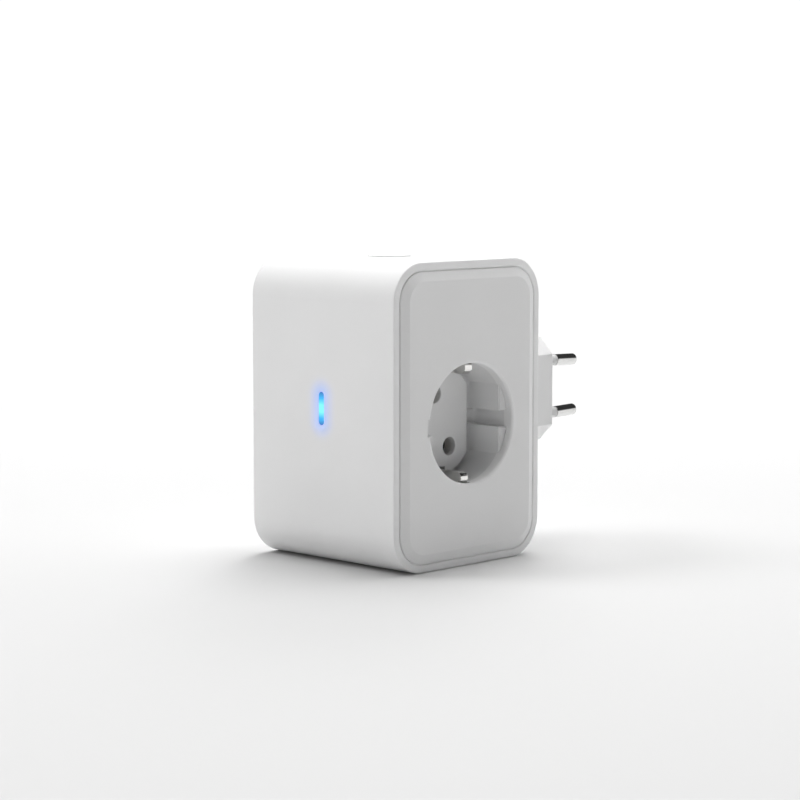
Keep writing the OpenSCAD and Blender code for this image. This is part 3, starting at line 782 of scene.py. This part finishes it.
def across_clip(name, outline, start, end, turn):
    """Extrudes an outline drawn as (x, reach) across a clip, turned about the outlet's axis."""
    def place(x, reach, aside):
        return (x, outlet_y + aside * math.cos(turn) - reach * math.sin(turn),
                outlet_z + aside * math.sin(turn) + reach * math.cos(turn))
    return loft(name, [[place(x, reach, aside) for x, reach in outline] for aside in (start, end)])


def earth_clip(name, turn):
    line = soften([(clip_root, 17.6 * mm), (clip_root, clip_line), (clip_front - 1.3 * mm, clip_line),
                   (clip_front - 0.3 * mm, clip_line + 1.1 * mm), (clip_front - 0.35 * mm, 18.8 * mm),
                   (clip_front - 1.3 * mm, 20.2 * mm)],
                  [0.5 * mm, 1.2 * mm, 1.0 * mm, 0.9 * mm], 8)
    half = clip_width / 2
    clip = across_clip(name, strip_outline(line, clip_gauge), -half, half, turn)
    inset = 0.12 * mm
    cheek = [(clip_root + 2 * mm, clip_line), (clip_front - 1.4 * mm, clip_line),
             (clip_front - 0.5 * mm - inset, clip_line + 1.1 * mm),
             (clip_front - 0.6 * mm - inset, 18.7 * mm), (clip_front - 1.6 * mm, 19.4 * mm),
             (clip_root + 2 * mm, 19.4 * mm)]
    cut(clip, [across_clip("cheek", cheek, side * (half - inset), side * (half - cheek_gauge), turn)
               for side in (-1, 1)], "UNION")
    edges = clip.modifiers.new("pressed_edges", "BEVEL")
    edges.width = 0.09 * mm
    edges.segments = 2
    edges.limit_method = "ANGLE"
    edges.angle_limit = math.radians(50)
    baked(clip)
    return smooth(clip, finish=earth_metal)


earth_metal = plated_metal("earth_metal", (0.86, 0.85, 0.83), 0.08, 0.1)
for clip_name, turn in (("earth_clip_top", clip_turn), ("earth_clip_bottom", math.pi + clip_turn)):
    clip = earth_clip(clip_name + "_strip", turn)
    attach(clip, clip_name.replace("clip", "spring"))
    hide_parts(clip_name)

# ---- Plug block ----
# The two-pin mains plug at the back: a long octagonal block of white plastic, hollow inside
# for the pins' wires, with a flange that is welded behind the sleeve's wall.
block_rear = plug_high.y
plug_flange_y = plug_low.y
inner_wall_y = rear_y - sleeve_wall
plug_end_fillet = 0.5 * mm
plug_wall = 2.2 * mm
end_wall = 3.5 * mm
pin_root = 9.3 * mm
pin_tilt = math.atan((18.6 - 17.5) / 2 / 19)
pin_length = 19 * mm
pin_radius = 2 * mm
neck_radius = 1.35 * mm


def turned(name, profile, at, along, steps=48):
    """A solid turned about an axis: profile is (along, radius) from one end to the other."""
    axis = Vector(along).normalized()
    side = axis.cross(Vector((1, 0, 0)))
    if side.length < 0.1:
        side = axis.cross(Vector((0, 1, 0)))
    side.normalize()
    other = axis.cross(side)
    return loft(name, [[Vector(at) + axis * t + (side * math.cos(a) + other * math.sin(a)) * radius
                        for a in [2 * math.pi * i / steps for i in range(steps)]]
                       for t, radius in profile])


def pin_axis(side):
    """(root, direction) of a pin; side is 1 for the upper one."""
    return (Vector((plug_middle.x, block_rear, plug_middle.z + side * pin_root)),
            Vector((0, math.cos(pin_tilt), -side * math.sin(pin_tilt))))


plug_white = moulded_plastic("plug_white", (0.84, 0.84, 0.84), 0.45, grain=0.3, bump=0.06)
plug_block = stack("plug_block_shell", plug_outline,
                   [(0, plug_flange_y + mm), (0, block_rear - plug_end_fillet)]
                   + [(-plug_end_fillet * (1 - math.cos(math.radians(a))),
                       block_rear - plug_end_fillet * (1 - math.sin(math.radians(a))))
                      for a in (22, 45, 68, 90)],
                   facing_y(plug_middle.x, plug_middle.z))
cut(plug_block, [stack("flange", plug_outline,
                       [(2.4 * mm, plug_flange_y), (2.4 * mm, inner_wall_y - 0.1 * mm)],
                       facing_y(plug_middle.x, plug_middle.z))], "UNION")
cut(plug_block, [stack("cavity", plug_outline, [(-plug_wall, plug_flange_y - mm),
                                                (-plug_wall, block_rear - end_wall)],
                       facing_y(plug_middle.x, plug_middle.z))]
    + [turned("pin_hole", [(-5 * mm, 1.65 * mm), (mm, 1.65 * mm)], *pin_axis(side))
       for side in (-1, 1)])
smooth(plug_block, finish=plug_white)
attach(plug_block, "casing")
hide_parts("plug_body")

# ---- Plug pins and their sleeves ----
# Two solid 4 mm pins of nickel-plated brass with rounded tips, leaning slightly together.
# Each has a waist that a grey insulating sleeve fills, and a solder cup inside the block.
sleeve_start = 0.08 * mm
sleeve_end = 8.5 * mm
tip = 1.1 * mm
pin_metal = plated_metal("pin_metal", (0.80, 0.80, 0.79), 0.10, 0.08)
sleeve_grey = moulded_plastic("sleeve_grey", (0.66, 0.66, 0.66), 0.4, grain=0.5)
pin_profile = ([(-9 * mm, 1.2 * mm), (-9 * mm, 1.65 * mm), (-5 * mm, 1.65 * mm), (-5 * mm, 2.5 * mm),
                (-4.9 * mm, 2.6 * mm), (-3.8 * mm, 2.6 * mm), (-3.7 * mm, 2.5 * mm),
                (-3.7 * mm, 1.62 * mm), (-0.05 * mm, 1.62 * mm), (-0.05 * mm, neck_radius),
                (sleeve_end, neck_radius), (sleeve_end, pin_radius - 0.1 * mm),
                (sleeve_end + 0.1 * mm, pin_radius)]
               + [(pin_length - tip + tip * math.sin(math.radians(a)),
                   pin_radius - tip + tip * math.cos(math.radians(a))) for a in range(0, 91, 10)]
               + [(pin_length, 0.02 * mm)])
cup = [(-6 * mm, 0.02 * mm), (-6 * mm, 1.2 * mm)]
for pin_name, side in (("plug_pin_live", 1), ("plug_pin_neutral", -1)):
    pin = turned(pin_name + "_rod", cup + pin_profile, *pin_axis(side))
    smooth(pin, finish=pin_metal)
    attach(pin, "casing")
    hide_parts(pin_name)
    round_edge = 0.12 * mm
    outer = pin_radius - 0.2 * mm
    tube = turned(pin_name + "_sleeve", [
        (sleeve_start, neck_radius), (sleeve_start, outer), (sleeve_end - round_edge, outer),
        (sleeve_end, outer - round_edge), (sleeve_end, neck_radius), (sleeve_start, neck_radius)],
        *pin_axis(side))
    smooth(tube, finish=sleeve_grey)
    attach(tube, "casing")
    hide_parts("pin_sleeves")

# ---- Light pipe ----
# A pill-shaped bar of clear plastic, flush with the front, that carries the indicator's light.
# It is held behind the wall by a flange; it shines cyan in the middle and blue at its ends.
light_flange = 1.2 * mm
light_face = 0.08 * mm


def lit_plastic(name, centre, half_length, middle_colour, between_colour, end_colour, power):
    """Clear plastic lit from behind: brightest in the middle of its length."""
    paint = bpy.data.materials.new(name)
    paint.use_nodes = True
    tree = paint.node_tree
    shader = tree.nodes["Principled BSDF"]
    shader.inputs["Base Color"].default_value = (0.02, 0.05, 0.08, 1)
    shader.inputs["Roughness"].default_value = 0.25
    place = tree.nodes.new("ShaderNodeTexCoord").outputs["Object"]
    along = node(tree, "ShaderNodeMapping", links={"Vector": place})
    along.inputs["Location"].default_value = (0, 0, -centre.z / (2 * half_length) + 0.5)
    along.inputs["Scale"].default_value = (0, 0, 1 / (2 * half_length))
    cloud = node(tree, "ShaderNodeTexNoise", {"Scale": 900.0, "Detail": 2.0}, {"Vector": place})
    height = node(tree, "ShaderNodeSeparateXYZ", links={"Vector": along.outputs["Vector"]})
    ramp = node(tree, "ShaderNodeValToRGB", links={"Fac": height.outputs["Z"]})
    ramp.color_ramp.elements[0].color = end_colour
    ramp.color_ramp.elements[1].color = end_colour
    for share, colour in ((0.2, between_colour), (0.4, middle_colour), (0.5, middle_colour),
                          (0.6, middle_colour), (0.8, between_colour)):
        ramp.color_ramp.elements.new(share).color = colour
    tree.links.new(ramp.outputs["Color"], shader.inputs["Emission Color"])
    shimmer = node(tree, "ShaderNodeMapRange", {"To Min": power * 0.96, "To Max": power * 1.04},
                   {"Value": cloud.outputs["Fac"]})
    tree.links.new(shimmer.outputs["Result"], shader.inputs["Emission Strength"])
    return paint


light_flange_start = front_y + sleeve_wall + 0.1 * mm
light_flange_end = front_y + sleeve_wall + 1.2 * mm
light_pipe_blue = lit_plastic("light_pipe_blue", light_middle, light_length / 2,
                              (0.22, 0.96, 1.0, 1), (0.02, 0.46, 0.92, 1),
                              (0.02, 0.15, 0.50, 1), 1.0)
light_pipe = stack("light_pipe_bar", light_outline, [
    (-light_face, front_y), (0, front_y + light_face), (0, light_flange_start),
    (light_flange, light_flange_start), (light_flange, light_flange_end),
    (0, light_flange_end), (0, light_high.y)], facing_y(light_middle.x, light_middle.z))
smooth(light_pipe, finish=light_pipe_blue)
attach(light_pipe, "casing")
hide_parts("light_pipe")

# ---- Button ----
# A round cap of the casing's plastic, standing a little out of the top. A flange keeps it in,
# and its stem rests on the plunger of the switch at the board's upper edge.
button_fillet = 0.3 * mm
button_stem = 2 * mm
button_flange = button_radius + 1.2 * mm
button_flange_top = top_z - sleeve_wall - 0.1 * mm
button_flange_low = top_z - sleeve_wall - 1.2 * mm
button_white = moulded_plastic("button_white", (0.90, 0.90, 0.90), 0.4, grain=0.3, bump=0.06)
button = turned("button_cap_disc", [
    (button_low.z, 0.02 * mm), (button_low.z, 1.8 * mm), (button_low.z + 0.2 * mm, button_stem),
    (button_flange_low, button_stem), (button_flange_low, button_flange),
    (button_flange_top, button_flange), (button_flange_top, button_radius)]
    + [(button_high.z - button_fillet * (1 - math.sin(math.radians(a))),
        button_radius - button_fillet * (1 - math.cos(math.radians(a)))) for a in range(0, 91, 15)]
    + [(button_high.z - 0.05 * mm, 4 * mm), (button_high.z - 0.08 * mm, 0.02 * mm)],
    (button_middle.x, button_middle.y, 0), (0, 0, 1), 96)
smooth(button, finish=button_white)
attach(button, "button")
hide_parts("button_cap")


def finish_node(name, paint):
    """Gives a part that keeps its own shape its finish."""
    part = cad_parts[name]
    part.data.materials.clear()
    part.data.materials.append(paint)


switch_black = moulded_plastic("switch_black", (0.03, 0.03, 0.032), 0.4, grain=0.2, blotch=0.1)
finish_node("switch_plunger", switch_black)
finish_node("tact_switch", switch_black)

# ---- End cover ----
# The left-hand cover, the same plate as the socket panel without the outlet. Its four posts
# reach the panel's, with deep round wells from outside for the screws.
well_radius = 2.9 * mm
screw_seat_x = -9 * mm
cover = panel_shell("end_cover_shell")
for corner in cover.data.vertices:
    corner.co.x = -corner.co.x
cover.data.flip_normals()
cut(cover, [rod_x("post", 1.4 * mm, -back_x - mm, 3.5 * mm, y, z) for y, z in post_places], "UNION")
cut(cover, [stack("screw_well", round_outline(well_radius, 48),
                  flare(screw_seat_x, -flat_x, 0.25 * mm, mm), facing_x(y, z)) for y, z in post_places]
    + [rod_x("clear_hole", screw_seat_x - mm, 2 * mm, 1.5 * mm, y, z, 24) for y, z in post_places])
smooth(cover, finish=panel_white)
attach(cover, "casing")
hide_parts("end_cover")

# ---- Screws ----
# Cross-recessed pan-head screws of zinc-plated steel with thread-forming ridges. The four long
# ones at the left hold the covers together; the others fix the board, the well and the carrier.
screw_steel = plated_metal("screw_steel", (0.62, 0.62, 0.64), 0.28, 0.2)


def wound_tree():
    """Adds a ridge or wire, wound as a helix along Z, to a body and puts both in their place."""
    tree, given, output = geometry_tree("wound_ridge", [
        ("Coil Radius", "Float"), ("Wire Radius", "Float"), ("Turns", "Float"), ("Length", "Float"),
        ("Start", "Float"), ("Facing", "Vector"), ("Centre", "Vector"), ("Material", "Material")])
    coil = node(tree, "GeometryNodeCurveSpiral", {"Resolution": 20}, {
        "Rotations": given.outputs["Turns"], "Start Radius": given.outputs["Coil Radius"],
        "End Radius": given.outputs["Coil Radius"], "Height": given.outputs["Length"]})
    wire = node(tree, "GeometryNodeCurvePrimitiveCircle", {"Resolution": 6},
                {"Radius": given.outputs["Wire Radius"]})
    swept = node(tree, "GeometryNodeCurveToMesh", {"Fill Caps": True}, {
        "Curve": coil.outputs["Curve"], "Profile Curve": wire.outputs["Curve"]})
    raised = node(tree, "ShaderNodeCombineXYZ", links={"Z": given.outputs["Start"]})
    shifted = node(tree, "GeometryNodeTransform", links={
        "Geometry": swept.outputs["Mesh"], "Translation": raised.outputs["Vector"]})
    both = node(tree, "GeometryNodeJoinGeometry")
    tree.links.new(shifted.outputs["Geometry"], both.inputs["Geometry"])
    tree.links.new(given.outputs["Geometry"], both.inputs["Geometry"])
    stood = node(tree, "GeometryNodeTransform", links={
        "Geometry": both.outputs["Geometry"], "Translation": given.outputs["Centre"],
        "Rotation": given.outputs["Facing"]})
    return finished_tree(tree, stood.outputs["Geometry"], given, output)


def repeated_tree():
    """Puts a copy of one piece on every point, all facing one way."""
    tree, given, output = geometry_tree("repeated_on_points", [
        ("Piece", "Object"), ("Facing", "Vector"), ("Material", "Material")])
    piece = node(tree, "GeometryNodeObjectInfo", links={"Object": given.outputs["Piece"]})
    placed = node(tree, "GeometryNodeInstanceOnPoints", links={
        "Points": given.outputs["Geometry"], "Instance": piece.outputs["Geometry"],
        "Rotation": given.outputs["Facing"]})
    return finished_tree(tree, placed.outputs["Instances"], given, output)


wound_ridge = wound_tree()
repeated_on_points = repeated_tree()
along_x = (0, math.pi / 2, 0)


def repeated(name, piece, places, facing, paint):
    """Copies of a piece, drawn along Z at the origin, on these places; the piece itself goes."""
    points = bpy.data.meshes.new(name)
    points.from_pydata([tuple(place) for place in places], [], [])
    group = new_object(name, points)
    grow(group, repeated_on_points, {"Piece": piece, "Facing": facing, "Material": paint})
    mesh = piece.data
    bpy.data.objects.remove(piece)
    bpy.data.meshes.remove(mesh)
    return smooth(group, 35)


def screw(head_radius, head_height, shank_radius, length):
    """One screw along Z: its head below zero, its shank above."""
    crown = [(-head_height * math.cos(math.radians(a)), head_radius * math.sin(math.radians(a)) ** 0.6)
             for a in (12, 24, 36, 48, 60, 72, 84)]
    core = shank_radius * 0.8
    made = turned("screw", [(-head_height, 0.02 * mm)] + crown + [
        (-0.15 * head_height, head_radius), (0, head_radius * 0.97), (0, core),
        (length - 1.5 * core, core), (length, 0.1 * mm)], (0, 0, 0), (0, 0, 1), 32)
    recess_half = head_radius * 0.6
    web = head_radius * 0.12
    deep = -head_height * 0.4
    cut(made, [loft("recess", [[(u, v, z) for u, v in
                                [(-a * grow, -b * grow), (a * grow, -b * grow), (a * grow, b * grow),
                                 (-a * grow, b * grow)]]
                               for z, grow in ((-2 * head_height, 1.3), (deep, 0.75))])
               for a, b in ((recess_half, web), (web, recess_half))])
    thread_length = length - 2.5 * core
    thread_pitch = 0.9 * shank_radius
    return grow(made, wound_ridge, {
        "Coil Radius": core, "Wire Radius": shank_radius - core,
        "Turns": thread_length / thread_pitch, "Length": thread_length, "Start": 0.4 * core,
        "Facing": (0, 0, 0), "Centre": (0, 0, 0), "Material": screw_steel})


for screws_name, sizes, places in (
        ("cover_screws", (2.7, 2, 1.3, 22), [(screw_seat_x, y, z) for y, z in post_places]),
        ("well_screws", (1.6, 1.1, 0.85, 4),
         [(back_x - well_flange, *around_outlet(math.radians(a), well_screw_reach))
          for a in (90, 210, 330)]),
        ("carrier_screws", (2, 1.3, 0.8, 7.5),
         [(carrier_x, outlet_y + side * boss_reach, outlet_z) for side in (-1, 1)]),
        ("board_screws", (2.1, 1.3, 0.9, 8), [(-1.6 * mm, y, z) for y, z in stand_places])):
    group = repeated(screws_name + "_set", screw(*[size * mm for size in sizes]), places,
                     along_x, screw_steel)
    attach(group, "casing")
    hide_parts(screws_name)

# ---- Contacts and carrier ----
# Sprung brass tubes behind the pin holes, held by a disc of heat-resisting resin, with the
# tinned earth strap round it and two insulated wires from the plug's pins to the board.
contact_brass = plated_metal("contact_brass", (0.50, 0.38, 0.22), 0.25, 0.2)
earth_strap_metal = plated_metal("earth_strap_metal", (0.80, 0.79, 0.76), 0.2, 0.2, stretch=(1, 6, 1))
heat_resin = moulded_plastic("heat_resin", (0.05, 0.05, 0.05), 0.5, blotch=0.08)
live_insulation = moulded_plastic("live_insulation", (0.16, 0.06, 0.03), 0.35, blotch=0.06)
neutral_insulation = moulded_plastic("neutral_insulation", (0.03, 0.13, 0.42), 0.35, blotch=0.06)
for part_name, paint in (("contact_carrier", heat_resin), ("live_contact", contact_brass),
                         ("neutral_contact", contact_brass), ("earth_strap", earth_strap_metal),
                         ("live_wire", live_insulation), ("neutral_wire", neutral_insulation)):
    finish_node(part_name, paint)

# ---- Main board ----
# An upright plate of green glass-filled resin with copper tracks, screwed to the panel's
# stand-offs. Its parts stand on the side away from the outlet, with soldered joints behind.
board_low, board_high = [Vector(corner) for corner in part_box("main_board")]


def board_resin(name, lacquer, track):
    """Lacquered board with tracks as slightly lighter, raised angular lines."""
    paint = bpy.data.materials.new(name)
    paint.use_nodes = True
    tree = paint.node_tree
    shader = tree.nodes["Principled BSDF"]
    shader.inputs["Roughness"].default_value = 0.3
    place = tree.nodes.new("ShaderNodeTexCoord").outputs["Object"]
    cells = node(tree, "ShaderNodeTexVoronoi", {"Scale": 260.0, "Randomness": 0.7}, {"Vector": place},
                 distance="CHEBYCHEV", feature="DISTANCE_TO_EDGE")
    edge = node(tree, "ShaderNodeValToRGB", links={"Fac": cells.outputs["Distance"]})
    edge.color_ramp.elements[0].position = 0.05
    edge.color_ramp.elements[0].color = track
    edge.color_ramp.elements[1].position = 0.08
    edge.color_ramp.elements[1].color = lacquer
    tree.links.new(edge.outputs["Color"], shader.inputs["Base Color"])
    relief = node(tree, "ShaderNodeBump", {"Strength": 0.2, "Distance": 0.03 * mm},
                  {"Height": cells.outputs["Distance"]})
    tree.links.new(relief.outputs["Normal"], shader.inputs["Normal"])
    return paint


board_green = board_resin("board_green", (0.01, 0.12, 0.05, 1), (0.04, 0.25, 0.09, 1))
finish_node("main_board", board_green)
leaded_parts = ("transformer_core", "bulk_capacitors", "film_capacitor", "filter_choke",
                "surge_varistor", "mains_fuse", "bridge_rectifier", "relay_base", "meter_shunt")
joint_places = []
for part_name in leaded_parts:
    part_low, part_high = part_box(part_name)
    lead_y = [part_low[1] + 1.4 * mm, part_high[1] - 1.4 * mm]
    lead_z = [part_low[2] + 1.4 * mm, part_high[2] - 1.4 * mm]
    joint_places += [(board_high.x, y, z) for y in lead_y for z in lead_z]
solder = plated_metal("solder", (0.70, 0.70, 0.72), 0.3, 0.25)
joint = turned("solder_joint", [(-0.05 * mm, 0.02 * mm), (-0.05 * mm, 0.9 * mm), (0.1 * mm, 0.75 * mm),
                                (0.35 * mm, 0.42 * mm), (0.6 * mm, 0.3 * mm), (0.8 * mm, 0.24 * mm),
                                (0.86 * mm, 0.02 * mm)], (0, 0, 0), (0, 0, 1), 14)
joints = repeated("solder_joints", joint, joint_places, along_x, solder)
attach(joints, "casing")
chip_black = moulded_plastic("chip_black", (0.025, 0.025, 0.028), 0.45, grain=0.1, blotch=0.1)
chip = stack("chip", rounded_outline(1.6 * mm, 0.9 * mm, 0.12 * mm, 2),
             [(-0.02 * mm, -0.02 * mm), (0, 0.3 * mm), (-0.08 * mm, 0.4 * mm)],
             lambda u, v, along: (u, v, along))
chip_places = [(board_low.x, board_low.y + column * 2.6 * mm, board_low.z + row * 2.1 * mm)
               for column in (15, 16, 17) for row in (8, 9, 10, 11, 13, 14)]
chips = repeated("surface_parts", chip, chip_places, (0, -math.pi / 2, 0), chip_black)
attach(chips, "casing")

# ---- Relay ----
# A mains relay: a resin base and a blue cover round a soft-iron yoke, a wound bobbin, and a
# hinged iron armature that closes the contact when the coil pulls it down.
winding_low, winding_high = [Vector(corner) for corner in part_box("relay_winding")]
winding_middle = (winding_low + winding_high) / 2
fine_wire = 0.11 * mm
copper_winding = plated_metal("copper_winding", (0.62, 0.25, 0.10), 0.3, 0.2)
relay_black = moulded_plastic("relay_black", (0.03, 0.03, 0.03), 0.4, blotch=0.1)
relay_blue = moulded_plastic("relay_blue", (0.02, 0.12, 0.45), 0.25, blotch=0.05)
soft_iron = plated_metal("soft_iron", (0.55, 0.55, 0.56), 0.35, 0.2)
for part_name, paint in (("relay_base", relay_black), ("relay_cover", relay_blue),
                         ("relay_yoke", soft_iron), ("relay_bobbin", relay_black),
                         ("relay_armature", soft_iron), ("relay_contact", contact_brass)):
    finish_node(part_name, paint)


def winding(name, inner, outer, wire, length, facing, centre, paint):
    """A tube of inner layers under one visible layer of round wire."""
    under = outer - wire
    tube = turned(name, [(0, inner), (0, under), (length, under), (length, inner), (0, inner)],
                  (0, 0, 0), (0, 0, 1), 48)
    grow(tube, wound_ridge, {
        "Coil Radius": under, "Wire Radius": wire, "Turns": (length - 2 * wire) / (2 * wire),
        "Length": length - 2 * wire, "Start": wire, "Facing": facing, "Centre": centre,
        "Material": paint})
    return smooth(tube, 40)


relay_coil = winding("relay_winding_wire", 2.55 * mm, (winding_high.x - winding_low.x) / 2, fine_wire,
                     winding_high.z - winding_low.z, (0, 0, 0),
                     (winding_middle.x, winding_middle.y, winding_low.z), copper_winding)
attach(relay_coil, "casing")
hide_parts("relay_winding")

# ---- Power supply ----
# The parts that make low voltage and filter the mains: a ferrite transformer under yellow tape,
# two sleeved capacitors, a film capacitor, a wound choke, a varistor, a fuse and a rectifier.
choke_low, choke_high = [Vector(corner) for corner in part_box("filter_choke")]
choke_middle = (choke_low + choke_high) / 2
choke_flange = mm
choke_wire = 0.3 * mm
choke_winding_radius = 3.8 * mm
ferrite = moulded_plastic("ferrite", (0.05, 0.05, 0.052), 0.55, grain=0.15, bump=0.15, blotch=0.15)
winding_tape = moulded_plastic("winding_tape", (0.75, 0.52, 0.05), 0.3, blotch=0.05)
capacitor_black = moulded_plastic("capacitor_black", (0.02, 0.022, 0.03), 0.3, blotch=0.1)
capacitor_yellow = moulded_plastic("capacitor_yellow", (0.72, 0.55, 0.08), 0.35, blotch=0.04)
varistor_blue = moulded_plastic("varistor_blue", (0.02, 0.10, 0.45), 0.3, grain=0.6, bump=0.15)
fuse_brown = moulded_plastic("fuse_brown", (0.12, 0.04, 0.02), 0.35, blotch=0.1)
for part_name, paint in (("transformer_core", ferrite), ("transformer_coil", winding_tape),
                         ("bulk_capacitors", capacitor_black), ("film_capacitor", capacitor_yellow),
                         ("surge_varistor", varistor_blue), ("mains_fuse", fuse_brown),
                         ("bridge_rectifier", chip_black), ("meter_shunt", contact_brass)):
    finish_node(part_name, paint)
choke_core = turned("choke_drum", [(t * mm, r * mm) for t, r in (
    (0, 0.02), (0, 4.3), (0.15, 4.5), (0.85, 4.5), (1, 4.3), (1, 2.5), (9, 2.5), (9, 4.3),
    (9.15, 4.5), (9.85, 4.5), (10, 4.3), (10, 0.02))],
    (choke_high.x, choke_middle.y, choke_middle.z), (-1, 0, 0))
smooth(choke_core, finish=ferrite)
choke_length = choke_high.x - choke_low.x - 2 * choke_flange
choke_coil = winding("choke_winding", 2.5 * mm, choke_winding_radius, choke_wire, choke_length,
                     (0, -math.pi / 2, 0),
                     (choke_high.x - choke_flange, choke_middle.y, choke_middle.z), copper_winding)
for part, finish_slot in ((choke_core, "ferrite"), (choke_coil, "copper_winding")):
    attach(part, "casing")
    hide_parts("filter_choke")

# ---- Radio and indicator ----
# A small radio board under a drawn metal can, which switches the relay on request, and the
# surface-mounted lamp that lights the pipe in the front.
radio_green = board_resin("radio_green", (0.01, 0.06, 0.09, 1), (0.03, 0.14, 0.17, 1))
shield_can = plated_metal("shield_can", (0.66, 0.66, 0.66), 0.25, 0.2, stretch=(1, 8, 1))
lamp_white = moulded_plastic("lamp_white", (0.75, 0.80, 0.82), 0.3)
for part_name, paint in (("radio_board", radio_green), ("radio_shield", shield_can),
                         ("status_led", lamp_white)):
    finish_node(part_name, paint)
